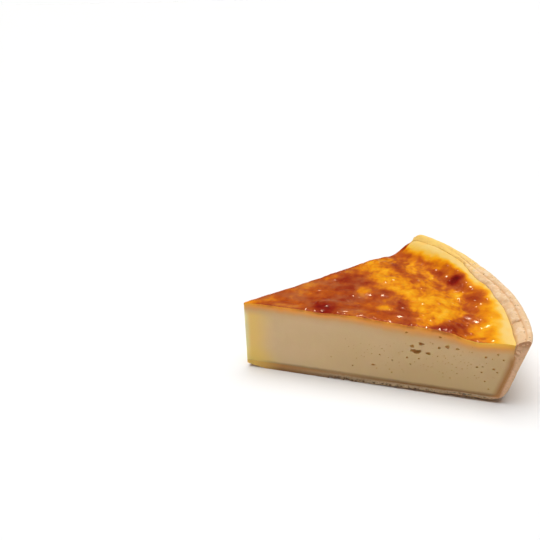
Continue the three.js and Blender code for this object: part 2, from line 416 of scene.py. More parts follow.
def even_points(outline: Array, pitch: float, seed: int) -> Array:
    """Spreads points evenly, but not in straight rows, over the inside of an outline.

    Args:
        outline: points along the outline.
        pitch: distance between points.
        seed: seed of their unevenness.

    Returns:
        Flat points.
    """
    rng = np.random.default_rng(seed)
    low, high = outline.min(axis=0), outline.max(axis=0)
    across = np.arange(low[0], high[0], pitch)
    up = np.arange(low[1], high[1], pitch * math.sqrt(0.75))
    grid = np.stack(np.meshgrid(across, up), axis=-1)
    grid[1::2, :, 0] += pitch / 2.0
    spread = grid.reshape(-1, 2)
    spread = spread + rng.uniform(-POINT_UNEVENNESS, POINT_UNEVENNESS, spread.shape) * pitch
    x, y = spread.T
    inside = np.zeros(len(spread), dtype=bool)
    clear = np.ones(len(spread), dtype=bool)
    for start, end in zip(outline, np.roll(outline, -1, axis=0)):
        crosses = (start[1] > y) != (end[1] > y)
        rise = end[1] - start[1] if end[1] != start[1] else 1.0
        inside ^= crosses & (x < start[0] + (y - start[1]) * (end[0] - start[0]) / rise)
        clear &= np.hypot(x - start[0], y - start[1]) > POINT_CLEARANCE * pitch
    return spread[inside & clear]


def at_height(flat: Array, z: float) -> Array:
    """Lifts flat points to a height."""
    return np.column_stack([flat, np.full(len(flat), z)])


class Patchwork:
    """Gathers patches of triangles into one welded mesh with marks on its points."""

    def __init__(self, marks: tuple[str, ...]) -> None:
        """Starts an empty mesh.

        Args:
            marks: names of the marks that its points carry.
        """
        self.mark_names = marks
        self.parts: list[Array] = []
        self.marks: dict[str, list[Array]] = {name: [] for name in marks}
        self.faces: list[Array] = []
        self.finishes: list[Array] = []
        self.count = 0

    def add(self, points: Array, faces: Array, finish: Face, **marks: Array | float) -> None:
        """Adds a patch.

        Args:
            points: its points.
            faces: its triangles.
            finish: its kind of surface.
            **marks: values of its marks, where they aren't 0.
        """
        self.parts.append(points)
        self.faces.append(faces + self.count)
        self.finishes.append(np.full(len(faces), int(finish)))
        for name in self.mark_names:
            self.marks[name].append(np.broadcast_to(marks.get(name, 0.0), len(points)).astype(float))
        self.count += len(points)

    def weld(self) -> "WeldedMesh":
        """Joins points that lie in the same place, which keep the marks of the patch that came first.

        Returns:
            The mesh.
        """
        points = np.concatenate(self.parts)
        keys = np.round(points * WELD_STEPS).astype(np.int64)
        _, first, place = np.unique(keys, axis=0, return_index=True, return_inverse=True)
        faces = place.reshape(-1)[np.concatenate(self.faces)]
        whole = np.all(faces != np.roll(faces, 1, axis=1), axis=1)
        marks = {name: np.concatenate(values)[first] for name, values in self.marks.items()}
        return WeldedMesh(points[first], faces[whole], np.concatenate(self.finishes)[whole], marks)


@dataclass
class WeldedMesh:
    """A closed mesh in millimetres, ready for fine relief."""

    points: Array
    faces: Array
    finishes: Array
    marks: dict[str, Array]

    def normals(self) -> Array:
        """Finds the direction in which the surface looks at each point.

        Returns:
            Directions of length 1, one a row.
        """
        first, second, third = (self.points[self.faces[:, corner]] for corner in range(3))
        facing = np.cross(second - first, third - first)
        total = np.zeros_like(self.points)
        for corner in range(3):
            np.add.at(total, self.faces[:, corner], facing)
        return total / np.maximum(np.linalg.norm(total, axis=1), SHORTEST)[:, None]

    def to_object(self, name: str, tip: Vector, materials: list[bpy.types.Material]) -> bpy.types.Object:
        """Makes the Blender object.

        Args:
            name: its name.
            tip: the slice's point in the frame, in metres.
            materials: its materials, in the order of Face.

        Returns:
            The object, linked to the scene.
        """
        mesh = bpy.data.meshes.new(name)
        places = self.points * METRES + np.array([tip.x, tip.y, 0.0])
        mesh.from_pydata(places.tolist(), [], self.faces.tolist())
        for material in materials:
            mesh.materials.append(material)
        mesh.polygons.foreach_set("material_index", self.finishes.astype(np.int32))
        for mark, values in self.marks.items():
            layer = mesh.attributes.new(mark, "FLOAT", "POINT")
            layer.data.foreach_set("value", values.astype(np.float32))
        mesh.shade_smooth()
        mesh.set_sharp_from_angle(angle=SHARP_ANGLE)
        mesh.update()
        return new_object(name, mesh)


def band_faces(columns: int, rows: int) -> Array:
    """Gives the triangles of a band of columns, each running upwards as seen from outside.

    Args:
        columns: number of columns of points.
        rows: number of points in each.

    Returns:
        Triangles that count the points column by column.
    """
    column, row = np.meshgrid(np.arange(columns - 1), np.arange(rows - 1), indexing="ij")
    here = (column * rows + row).ravel()
    lower = np.stack([here, here + rows, here + rows + 1], axis=1)
    upper = np.stack([here, here + rows + 1, here + 1], axis=1)
    return np.concatenate([lower, upper])


def lattice(rows: int) -> tuple[Array, Array, Array]:
    """Covers the sector with even triangles, one more in each row away from the point of the slice.

    Args:
        rows: number of rows.

    Returns:
        Share of the way to the crust and turn of each point, and the triangles.
    """
    row = np.repeat(np.arange(rows + 1), np.arange(1, rows + 2))
    start = row * (row + 1) // 2
    step = np.arange(len(row)) - start
    turn = np.where(row == 0, 0.0, 2.0 * step / np.maximum(row, 1) - 1.0)
    here = np.arange(len(row))
    out = here + row + 1
    first = np.stack([here, out, out + 1], axis=1)[row < rows]
    second = np.stack([here, out + 1, here + 1], axis=1)[(row < rows) & (step < row)]
    return row / rows, turn, np.concatenate([first, second])


@dataclass(frozen=True)
class Oval:
    """An oval place on the top: its middle, half sizes and lean in degrees."""

    x: float
    y: float
    long: float
    wide: float
    lean: float

    def away(self, x: Array, y: Array) -> Array:
        """Measures how far places are from the middle.

        Args:
            x: x of the places.
            y: y of the places.

        Returns:
            Distances, which are 1 on the oval's outline.
        """
        lean = math.radians(self.lean)
        along = (x - self.x) * math.cos(lean) + (y - self.y) * math.sin(lean)
        across = (y - self.y) * math.cos(lean) - (x - self.x) * math.sin(lean)
        return np.hypot(along / self.long, across / self.wide)


@dataclass(frozen=True)
class Spot(Oval):
    """A spot of the browned top: how brown it is and how much it covers."""

    brown: float
    cover: float
    EDGE: ClassVar[float] = 2.4

    def weight(self, x: Array, y: Array) -> Array:
        """How far the spot covers each place, from 0 to 1."""
        return self.cover * np.exp(-(self.away(x, y) ** self.EDGE))


@dataclass(frozen=True)
class Bump(Oval):
    """A small blister or wrinkle of the skin, with its height.

    It is steepest STEEP_PLACE half widths from its middle, where it climbs STEEPNESS heights in a half width.
    """

    lift: float
    FALL: ClassVar[float] = 1.6
    REACH: ClassVar[float] = 3.3
    STEEP_PLACE: ClassVar[float] = 1.0 / math.sqrt(2.0 * FALL)
    STEEPNESS: ClassVar[float] = math.sqrt(2.0 * FALL) * math.exp(-0.5)

    def height(self, x: Array, y: Array) -> Array:
        """Height that the bump adds at each place."""
        return self.lift * np.exp(-self.FALL * self.away(x, y) ** 2)


BROWNED_SPOTS = (
    Spot(12, 0, 9, 6, 0, 0.57, 0.8), Spot(22, 4, 9, 6, 25, 0.58, 0.8), Spot(1.5, 0, 4, 3, 0, 0.3, 0.95),
    Spot(12, -3, 5, 2.4, -20, 0.66, 0.7), Spot(30, 15, 9, 3, 28, 0.43, 0.8),
    Spot(17, -7, 9, 2.2, -30, 0.44, 0.7), Spot(48, 14, 16, 10, 80, 0.71, 0.95),
    Spot(38, -1, 8, 6, 70, 0.7, 0.85), Spot(43.5, -13, 6.5, 4.5, -30, 0.7, 0.85),
    Spot(39.5, 20, 6.5, 3.4, 30, 0.5, 0.85), Spot(56, 30.5, 6, 4, 30, 0.46, 0.85),
    Spot(47, -10, 8, 6, -30, 0.62, 0.9), Spot(54.5, -24, 9, 6, -35, 0.72, 0.95),
    Spot(45, -22.5, 12, 2.4, -30, 0.5, 0.8), Spot(66, -34.5, 8, 2.2, -30, 0.42, 0.7),
    Spot(45.5, 6.5, 5, 3.2, 50, 0.78, 0.85), Spot(51.5, -7, 3.6, 2.6, 70, 0.7, 0.85),
    Spot(50.6, 3, 5.4, 3.2, 78, 0.37, 1), Spot(53, -16.5, 4.6, 2.8, -25, 0.32, 0.95),
    Spot(63.5, 30, 9, 4.5, 105, 0.36, 0.95), Spot(66, 19, 9, 6, 95, 0.36, 0.95),
    Spot(64.5, 11, 6.5, 5, 85, 0.27, 0.95), Spot(67.5, 36, 5, 4.5, 60, 0.34, 0.9),
    Spot(69, 3, 7, 6, 90, 0.38, 0.95), Spot(68.5, -4, 5, 4.6, 60, 0.23, 1),
    Spot(74.5, -10.5, 8, 5, 60, 0.33, 0.95), Spot(68, -16, 7, 5, 80, 0.34, 0.9),
    Spot(73.5, -25, 7.5, 6, 60, 0.26, 0.95), Spot(66, -27.5, 5, 4, 60, 0.34, 0.9),
    Spot(72.5, -30, 4.5, 3, 30, 0.27, 0.9), Spot(58, -2, 6, 2, 80, 0.7, 0.9),
    Spot(60.5, -17, 6.5, 2.6, 80, 0.78, 0.95), Spot(75.5, 29, 6.5, 4.2, 70, 0.72, 0.95),
    Spot(79.5, 37, 7, 5, 60, 0.53, 0.8), Spot(79.5, 16.5, 6.5, 3, 65, 0.64, 0.9),
    Spot(85, 4.5, 8, 3, 68, 0.6, 0.85), Spot(78, 5.5, 6, 3.4, 65, 0.52, 0.8),
    Spot(83.6, 30.5, 6.5, 1.5, 65, 0.3, 0.9), Spot(87.2, 17.5, 6, 1.4, 65, 0.28, 0.9),
    Spot(82.4, 22.5, 5, 1.4, 62, 0.36, 0.7), Spot(89, -6, 4.5, 2.2, 65, 0.28, 0.9),
    Spot(82.5, -13, 5.4, 3.6, 60, 0.28, 0.9), Spot(83.5, -19.5, 5, 3, 60, 0.38, 0.8),
    Spot(87.8, 45, 6, 3.4, 75, 0.76, 0.95), Spot(90.6, 21.5, 6, 2.4, 105, 0.72, 0.9),
    Spot(91, 31.5, 7, 2, 110, 0.58, 0.85), Spot(96.6, 19.5, 4, 2, 100, 0.56, 0.8),
    Spot(92.2, 8, 5.6, 3, 95, 0.8, 0.95), Spot(95.2, 8.8, 4.2, 2.9, 80, 0.94, 1),
    Spot(94.5, 2.6, 3, 2.4, 90, 0.64, 0.85), Spot(94.5, -9.8, 4.4, 4, 60, 0.74, 0.95),
    Spot(89, -18.5, 5, 2.8, 70, 0.68, 0.9), Spot(93.6, -19.5, 4, 2.4, 60, 0.4, 0.8),
    Spot(84.5, -38.5, 8, 6, 60, 0.29, 0.95), Spot(90, -34, 6, 2.6, 65, 0.2, 0.9),
    Spot(88, -39.5, 3.6, 2, 60, 0.42, 0.8), Spot(84.6, -41, 4.4, 2.4, 40, 0.45, 0.85),
    Spot(96.6, -25, 4, 2.6, 70, 0.27, 0.8), Spot(101.6, 1, 7, 2.6, 92, 0.08, 0.95),
    Spot(64, -6, 26, 6, 92, 0.66, 0.22), Spot(85.6, -46, 5, 3, 60, 0.36, 0.85),
    Spot(70.5, -37, 6.6, 4.2, 25, 0.76, 1), Spot(77, -33, 6.4, 3.6, 42, 0.78, 1),
    Spot(82.6, -28.2, 5, 2.2, 50, 0.7, 0.95), Spot(80.3, -43.2, 2.4, 1.4, 0, 0.6, 0.75),
    Spot(30.2, -6.5, 8, 3.6, 85, 0.78, 1), Spot(29, -14, 6.4, 5, -25, 0.82, 1),
    Spot(36, -16, 5, 3.4, -20, 0.72, 0.9), Spot(41, -20, 5, 2.2, -28, 0.6, 0.8),
)

# x and y of places where the skin shines, and the half length and half width of the swelling behind each
SHINING_PLACES = (
    (22.5, -11.5, 0.7, 0.7), (28, -14, 1.5, 1), (29, -6.5, 0.9, 0.9), (31, -11, 1.4, 0.9), (33, 7, 3, 1),
    (36.5, -17.5, 2.8, 1.1), (33.5, -18, 0.7, 0.7), (41.5, -6, 1, 1), (45, -1.5, 1.2, 1),
    (47, -3, 0.8, 0.8), (52, -2.5, 0.9, 0.9), (44, -11.5, 0.7, 0.7), (42.5, 17, 1.4, 1),
    (43.5, 22, 0.7, 0.7), (42, -22.5, 0.8, 0.8), (46, -24.5, 0.7, 0.7), (49, -20, 0.7, 0.7),
    (51, -28, 0.8, 0.8), (54.5, -18.5, 0.9, 0.9), (56.5, -4, 1.4, 1.2), (57, -25.5, 0.7, 0.7),
    (60, -18, 1.8, 1.3), (63.5, -34.5, 0.8, 0.8), (65.5, -25.5, 0.8, 0.8), (66.5, -30.5, 1.1, 1.1),
    (67, -37.5, 0.7, 0.7), (69.5, -38, 0.8, 0.8), (71, -39, 1, 0.9), (72, -35, 0.9, 0.8),
    (74, -31, 1.6, 1), (76, -32.5, 1, 1), (78, -32.5, 1.4, 1), (80.5, -32.5, 1, 1), (78.5, -35, 0.7, 0.7),
    (76, -41, 1, 1), (79, -39, 0.8, 0.8), (81, -28.5, 0.8, 0.8), (83, -14.5, 1, 1), (84, -46.5, 1, 0.9),
    (85.5, -29.5, 2.2, 1.1), (88, -29, 0.8, 0.8), (92, -29.5, 0.9, 0.8), (88, -35, 2.4, 1.3),
    (85, -35.5, 1, 0.9), (88.5, -8.5, 1.6, 1.3), (87.5, -11.5, 1, 1), (93.5, -12.5, 0.8, 0.8),
    (94, -17, 1.4, 1.1), (91.5, -18, 0.8, 0.8), (98, -14.5, 0.9, 0.9), (76.5, -15.5, 0.9, 0.8),
    (70, -14.5, 1.2, 1.1), (63, 9.5, 0.8, 0.8), (67, 11, 1.2, 1), (68.5, 32.5, 0.9, 0.8),
    (75.5, 0.5, 0.9, 0.9), (78, 9.5, 0.9, 0.8), (82, 30.5, 0.8, 0.8), (82.5, 27, 1, 1),
    (86.5, 17.5, 0.8, 0.8), (86.5, 13.5, 1.2, 1.2), (89, 46, 1, 1), (92, 22.5, 1.1, 1.1),
    (93, 14, 1.6, 1.2), (92, 8.5, 0.8, 0.8), (94, 33.5, 1.1, 1.1), (93, -3, 0.9, 0.9),
    (97, 21.5, 0.9, 0.9), (97, 3, 0.7, 0.7), (97, -1, 1.2, 1), (97, -3, 0.8, 0.8), (98.5, 14.5, 0.8, 0.8),
    (98.5, 17, 0.7, 0.7),
)


@dataclass(frozen=True)
class Browning:
    """How the top of the custard browned in the oven."""

    spots: tuple[Spot, ...] = BROWNED_SPOTS
    ground: float = 0.55
    far_ground: float = 0.5
    far_ground_span: Span = (60, 75)
    drift: Noise = Noise(2.2, 8, 2)
    drift_shifts: Span = (11, 53)
    mottle: Noise = Noise(0.2, 7, 3)
    streak: Noise = Noise(0.17, 1.9, 2)
    streak_stretch: float = 2.6
    streak_lean: float = math.radians(62)
    # turn, and the share of the way to the crust where the pale edge starts
    edge_starts: Knots = ((-1, 0.914), (-0.55, 0.944), (0.4, 0.944), (0.7, 0.905), (1, 0.905))
    edge_narrow: float = 0.026
    edge_narrow_place: Span = (-0.08, 0.16)
    edge_width: float = 0.042
    edge_golden: float = 0.2
    edge_pale: float = 0.02
    edge_uneven: float = 0.4
    edge_wander: Noise = Noise(0.036, 7, 2)
    wander_shift: float = 91.0
    paling_wander: float = 0.6
    paling_span: Span = (0.15, 0.75)
    least_paling: float = 0.01
    edge_calm: float = 0.7
    edge_calm_span: Span = (0.85, 0.93)
    point_calm: float = 0.45
    point_calm_span: Span = (75, 45)
    far_turns: Span = (0.955, 0.985)
    far_brown: float = 0.1
    seed: int = 11

    def edge_place(self, turn: Array) -> Array:
        """Share of the way to the crust where the pale edge starts."""
        start = through(turn, self.edge_starts) + self.edge_narrow * hill(turn, *self.edge_narrow_place)
        return start + self.far_brown * ease(turn, *self.far_turns)

    def unevenness(self, flat: Array, x: Array, y: Array, share: Array) -> Array:
        """Gives the mottling and the streaks, which are calmer near the crust and near the point.

        Args:
            flat: points of the top at height 0.
            x: x of the points after their drift.
            y: y of the points after their drift.
            share: share of the way to the crust.

        Returns:
            How much browner each point gets.
        """
        grain = Grain(self.seed)
        along = x * math.cos(self.streak_lean) + y * math.sin(self.streak_lean)
        across = y * math.cos(self.streak_lean) - x * math.sin(self.streak_lean)
        stretched = np.stack([along / self.streak_stretch, across, np.zeros(len(x))], axis=1)
        calm = 1.0 - self.edge_calm * ease(share, *self.edge_calm_span)
        calm = calm * (1.0 - self.point_calm * ease(x, *self.point_calm_span))
        return self.mottle.at(grain, flat) + calm * self.streak.at(grain, stretched)

    def at(self, points: Array, share: Array, turn: Array) -> Array:
        """Gives how brown the skin is.

        Args:
            points: points of the top.
            share: their share of the way to the crust.
            turn: their turns.

        Returns:
            Numbers from 0, pale, to 1, nearly black.
        """
        grain = Grain(self.seed)
        flat = points * FLAT
        shift_x, shift_y = self.drift_shifts
        x = points[:, 0] + self.drift.at(grain, flat + shift_x)
        y = points[:, 1] + self.drift.at(grain, flat + shift_y)
        brown = blend(self.ground, self.far_ground, ease(x, *self.far_ground_span))
        for spot in self.spots:
            brown = blend(brown, spot.brown, spot.weight(x, y))
        uneven = self.unevenness(flat, x, y, share)
        wander = self.edge_wander.at(grain, flat + self.wander_shift)
        start = self.edge_place(turn)
        edge = ease(share + wander, start, start + self.edge_width)
        into_edge = share + self.paling_wander * wander - start
        paling = ease(into_edge / np.maximum(1.0 - start, self.least_paling), *self.paling_span)
        pale = blend(self.edge_golden, self.edge_pale, paling) + self.edge_uneven * uneven
        return np.clip(blend(brown + uneven, pale, edge), 0.0, 1.0)


@dataclass
class CustardFilling:
    """The custard: a browned and blistered top, two cut faces with bubbles, and sides hidden in the shell."""

    plan: SlicePlan
    browning: Browning = field(default_factory=Browning)
    rows: int = 350
    side_rows: int = 12
    side_crowding: float = 0.6
    cut_pitch: float = 0.6
    hidden_pitch: float = 3.0
    hidden_depth: float = 4.0
    underside_depth: float = 20.0
    tip_margin: float = 0.3
    seat: float = 0.04
    gap_depth: float = 0.6
    centre_height: float = 27.8
    crown_fall: float = 1.4
    point_lift: float = 0.8
    point_reach: float = 34.0
    point_lean: float = 0.8
    lean_reach: float = 14.0
    edge_round: float = 0.2
    edge_round_start: float = 0.96
    trough_place: float = 0.87
    trough_spread: float = 0.08
    trough_near: float = 2.4
    trough_far: float = 1.3
    swell: Noise = Noise(0.45, 15)
    near_lift: float = 1.0
    near_lift_place: Span = (42, 22)
    near_lift_turns: Span = (0.2, 1)
    # r and turn of the middle, then radius and height
    blisters: tuple[tuple[float, ...], ...] = (
        (33, -0.4, 6, 0.9), (51, 0, 5, 0.7), (58, -0.1, 4, 0.6), (62, -0.68, 6, 0.6),
        (66, 0.35, 7, 0.5), (80, -0.9, 7, 0.6), (89, -0.55, 4, 0.7), (94, 0.15, 5, 0.5),
    )
    blister_fall: float = 2.0
    ripple: Noise = Noise(0.3, 6, 4)
    crust_calm: float = 0.6
    crust_calm_span: Span = (0.93, 0.98)
    bubble_count: int = 70
    bubble_reach: float = 97.0
    bubble_spread: Span = (0.03, 1)
    bubble_turns: Span = (-0.97, 0.97)
    bubble_wide: Span = (0.6, 1.3)
    bubble_stretch: Span = (1, 2.2)
    bubble_lean: Span = (-60, 60)
    bubble_steepness: Span = (0.06, 0.2)
    bead_span: Span = (24, 92)
    bead_behind: Span = (0.9, 1.7)
    bead_wide: Span = (0.45, 0.7)
    bead_steepness: Span = (0.1, 0.32)
    bead_step: Span = (0.9, 1.9)
    knife_round: float = 0.05
    knife_reach: float = 0.5
    knife_brown: float = 0.12
    knife_brown_reach: float = 0.8
    knife_brown_span: Span = (0.1, 0.4)
    ridge: float = 0.1
    ridge_place: float = 2.4
    ridge_start: float = 18.0
    ridge_full: float = 30.0
    ridge_end: float = 88.0
    shining_places: tuple[tuple[float, float, float, float], ...] = SHINING_PLACES
    # slope of the skin where it shines, and how that changes along x and along y
    shine_slope: Span = (-0.11, 0.33)
    shine_slope_x: Span = (0.002, 0)
    shine_slope_y: Span = (-0.0006, 0.0009)
    steepest_shine: float = 0.62
    shine_share: float = 0.95
    slope_step: float = 0.5
    blunt: float = 0.3
    blunt_reach: float = 1.2
    drag: Noise = Noise(0.05, 4, 3)
    drag_stretch: Triple = (1, 1, 0.35)
    drag_clear: float = 0.3
    pore_count: int = 130
    # least, likeliest and greatest distance along the cut and height of the fine pores
    fine_pore_along: Triple = (38, 84, 102)
    fine_pore_height: Triple = (6, 15, 22.5)
    fine_pore_size: Span = (0.1, 0.25)
    fine_pore_stretch: Span = (1, 1.6)
    fine_pore_depth: float = 0.65
    # share of the painted pore shade that the fine pores take
    fine_pore_mark: float = 0.9
    fine_pore_sides: int = 8
    fine_pore_rings: tuple[float, ...] = (1, 0.75)
    large_pore: float = 0.35
    large_pore_sides: int = 16
    large_pore_rings: tuple[float, ...] = (1, 0.88, 0.5)
    pore_clearance: Span = (1.5, 2)
    pore_margin: float = 0.25
    pore_wobble: Span = (0.16, 0.08)
    pore_seed: int = 20
    seed: int = 3
    # distance along the cut, height, half width, half height
    near_pores: tuple[tuple[float, ...], ...] = (
        (68.8, 17.1, 2, 0.8), (67.2, 19.2, 0.9, 0.6), (70.5, 20.6, 1.1, 0.6), (73.4, 17, 0.9, 0.6),
        (80.2, 20.8, 0.8, 0.8), (77.2, 19.9, 0.6, 0.5), (83.8, 20.4, 0.7, 0.5), (94.1, 18.6, 0.5, 0.4),
        (64.8, 24.6, 0.5, 0.35), (77.3, 24.4, 0.5, 0.4), (52.8, 8.9, 0.8, 0.3), (54.2, 7.6, 0.3, 0.25),
        (60, 12.1, 0.4, 0.3), (65.6, 14.1, 0.5, 0.4), (67, 11.5, 0.4, 0.3), (70.1, 14.3, 0.4, 0.3),
        (60.1, 6.8, 0.4, 0.3), (59.2, 8, 0.3, 0.3), (44.7, 7.3, 0.4, 0.3), (55.2, 13.7, 0.4, 0.3),
        (36, 9.8, 0.3, 0.25), (98.2, 20.3, 0.45, 0.4), (100.3, 18.4, 0.4, 0.4), (91.3, 14.1, 0.5, 0.4),
        (97.2, 14.1, 0.5, 0.4), (93.1, 12.2, 0.45, 0.3), (98.6, 13, 0.4, 0.3), (94.5, 8.6, 0.4, 0.3),
        (96.1, 5.6, 0.4, 0.3), (89.1, 19.8, 0.35, 0.3), (96.4, 18.2, 0.3, 0.3),
    )
    far_pores: tuple[tuple[float, ...], ...] = (
        (88.2, 17.4, 1.5, 0.8), (84.6, 19.6, 1, 0.7), (77.3, 14.1, 0.9, 0.6), (92.5, 12.2, 0.8, 0.6),
        (71.2, 19.1, 0.7, 0.5), (80.9, 22, 0.6, 0.5), (66, 15.4, 0.5, 0.4), (95.5, 20.6, 0.6, 0.5),
        (60.3, 20.8, 0.4, 0.4), (86.4, 8.9, 0.5, 0.4),
    )

    @property
    def floor(self) -> float:
        """Height of the custard's underside."""
        return self.plan.base_thickness + self.seat

    def top_height(self, share: Array, turn: Array, points: Array) -> Array:
        """Gives the main relief of the top.

        Args:
            share: share of the way to the crust.
            turn: turns of the points.
            points: the points, of which x and y are used.

        Returns:
            Heights.
        """
        x, y = points[:, 0], points[:, 1]
        crown = self.centre_height - self.crown_fall * share**2
        sunk = blend(self.trough_near, self.trough_far, (turn + 1.0) / 2.0)
        trough = sunk * hill(share, self.trough_place, self.trough_spread)
        rise = self.plan.edge_height(turn) - (self.centre_height - self.crown_fall)
        climb = rise * ease(share, self.trough_place, 1.0)
        rolled = np.clip((share - self.edge_round_start) / (1.0 - self.edge_round_start), 0.0, 1.0)
        swell = self.swell.at(Grain(self.seed), points * FLAT)
        lifted = self.point_lift * ease(x, self.point_reach, 0.0)
        height = crown - trough + climb - self.edge_round * rolled**2 + swell + lifted
        lift = self.near_lift * hill(np.hypot(x, y), *self.near_lift_place)
        height = height + lift * ease(-turn, *self.near_lift_turns)
        for r, side, radius, lift in self.blisters:
            middle = self.plan.place(r, side, 0.0)
            away = np.hypot(x - middle[0], y - middle[1]) / radius
            height = height + lift * np.exp(-self.blister_fall * away**2)
        return height

    def bubbles(self) -> list[Bump]:
        """Scatters small bubbles over the top and beads along the near cut.

        Returns:
            The bumps.
        """
        rng = np.random.default_rng(self.seed)
        bumps: list[Bump] = []
        for _ in range(self.bubble_count):
            r = self.bubble_reach * math.sqrt(rng.uniform(*self.bubble_spread))
            middle = self.plan.place(r, rng.uniform(*self.bubble_turns), 0.0)
            wide = rng.uniform(*self.bubble_wide)
            long = wide * rng.uniform(*self.bubble_stretch)
            lean = rng.uniform(*self.bubble_lean)
            lift = wide * rng.uniform(*self.bubble_steepness)
            bumps.append(Bump(middle[0], middle[1], long, wide, lean, lift))
        inward = -self.plan.outward(Cut.NEAR)
        along, end = self.bead_span
        while along < end:
            middle = self.plan.place(along, Cut.NEAR.value, 0.0) + inward * rng.uniform(*self.bead_behind)
            wide = rng.uniform(*self.bead_wide)
            lift = wide * rng.uniform(*self.bead_steepness)
            bumps.append(Bump(middle[0], middle[1], wide, wide, 0.0, lift))
            along += rng.uniform(*self.bead_step)
        return bumps

    @staticmethod
    def swollen(points: Array, bumps: list[Bump]) -> Array:
        """Adds up the heights of bumps.

        Args:
            points: points of the top.
            bumps: the bumps.

        Returns:
            Heights to add.
        """
        total = np.zeros(len(points))
        for bump in bumps:
            away = np.abs(points[:, 0] - bump.x) + np.abs(points[:, 1] - bump.y)
            close = np.flatnonzero(away < Bump.REACH * max(bump.long, bump.wide))
            total[close] += bump.height(points[close, 0], points[close, 1])
        return total

    def ripples(self, share: Array, points: Array) -> Array:
        """Ripples of the baked skin, for points and their share of the way to the crust."""
        calm = 1.0 - self.crust_calm * ease(share, *self.crust_calm_span)
        return calm * self.ripple.at(Grain(self.seed + 1), points * FLAT)

    def knife_edge(self, points: Array) -> Array:
        """Gives the ridge that the knife pushed up along each cut and the rounding at its edge.

        Args:
            points: points of the top.

        Returns:
            Heights to add.
        """
        total = np.zeros(len(points))
        r = np.hypot(points[:, 0], points[:, 1])
        raised = ease(r, self.ridge_start, self.ridge_full)
        raised = raised * (1.0 - ease(r, self.ridge_full, self.ridge_end) ** 3)
        for cut in Cut:
            behind = self.plan.from_cut(points, cut)
            share = (behind / self.ridge_place) ** 2
            total += self.ridge * raised * share * np.exp(1.0 - share)
            total -= self.knife_round * np.exp(-behind / self.knife_reach)
        return total

    def dull_relief(self, share: Array, turn: Array, points: Array) -> Array:
        """Gives the relief of the top without the shining swellings, for points whose x and y are used."""
        main = self.top_height(share, turn, points) + self.ripples(share, points)
        return main + self.swollen(points, self.bubbles()) + self.knife_edge(points)

    def dull_height(self, x: Array, y: Array) -> Array:
        """Gives the height of the top without the shining swellings.

        Args:
            x: x of places on the top.
            y: y of the places.

        Returns:
            Heights there.
        """
        turn = np.clip(np.arctan2(y, x) / self.plan.half_angle, -1.0, 1.0)
        share = np.clip(np.hypot(x, y) / self.plan.edge_radius(turn), 0.0, 1.0)
        return self.dull_relief(share, turn, np.stack([x, y, np.zeros(len(x))], axis=1))

    def shining_bumps(self) -> list[Bump]:
        """Finds the swellings that tilt the skin to the light at the shining places.

        Returns:
            Bumps that are steepest at those places.
        """
        x, y, long, wide = np.array(self.shining_places).T
        wanted = self.shine_slope + np.outer(x, self.shine_slope_x) + np.outer(y, self.shine_slope_y)
        step = self.slope_step
        rise_x = self.dull_height(x + step, y) - self.dull_height(x - step, y)
        rise_y = self.dull_height(x, y + step) - self.dull_height(x, y - step)
        missing = wanted - np.stack([rise_x, rise_y], axis=1) / (2.0 * step)
        steep = np.linalg.norm(missing, axis=1)
        uphill = missing / steep[:, None]
        lift = wide * np.minimum(steep, self.steepest_shine) * self.shine_share / Bump.STEEPNESS
        middle = np.stack([x, y], axis=1) + uphill * (Bump.STEEP_PLACE * wide)[:, None]
        lean = np.degrees(np.arctan2(uphill[:, 0], -uphill[:, 1]))
        return [Bump(*sizes) for sizes in zip(middle[:, 0], middle[:, 1], long, wide, lean, lift)]

    def relief(self, share: Array, turn: Array, points: Array) -> Array:
        """Gives the whole relief of the top, for points whose x and y are used."""
        return self.dull_relief(share, turn, points) + self.swollen(points, self.shining_bumps())

    def side_section(self, turn: Array, top: Array) -> tuple[Array, Array]:
        """Gives the hidden side against the crust, from the base up to the top edge.

        Args:
            turn: turn of each column.
            top: r and height of the top edge in each column.

        Returns:
            The r and the z of the points, one column a row.
        """
        arc_r, arc_z = self.plan.corner_arc(self.plan.inner_round - self.seat)
        radii = [np.full(len(turn), r) for r in arc_r[::-1]]
        heights = [np.full(len(turn), z) for z in arc_z[::-1]]
        for step in range(1, self.side_rows):
            z = blend(self.plan.corner_height, top[:, 1], (step / self.side_rows) ** self.side_crowding)
            open_gap = ease(z, top[:, 1] - self.gap_depth, top[:, 1])
            away = blend(self.seat, self.plan.gap(turn), open_gap) / math.cos(self.plan.flare)
            radii.append(self.plan.inner_radius(turn, z) - away)
            heights.append(z)
        radii.append(top[:, 0])
        heights.append(top[:, 1])
        return np.stack(radii, axis=1), np.stack(heights, axis=1)

    def pores_of(self, cut: Cut) -> list[tuple[float, ...]]:
        """Gives the air bubbles opened by a cut, the large ones and many fine ones.

        Args:
            cut: which cut.

        Returns:
            Distance along the cut, height, half width and half height of each.
        """
        pores = list(self.near_pores if cut is Cut.NEAR else self.far_pores)
        rng = np.random.default_rng(self.seed + int(cut.value) + self.pore_seed)
        clear, clear_fine = self.pore_clearance
        while len(pores) < self.pore_count:
            along = rng.triangular(*self.fine_pore_along)
            height = rng.triangular(*self.fine_pore_height)
            size = rng.uniform(*self.fine_pore_size)
            wide = size * rng.uniform(*self.fine_pore_stretch)
            if all(math.hypot(along - p[0], height - p[1]) > clear * p[2] + clear_fine * wide for p in pores):
                pores.append((along, height, wide, size))
        return pores

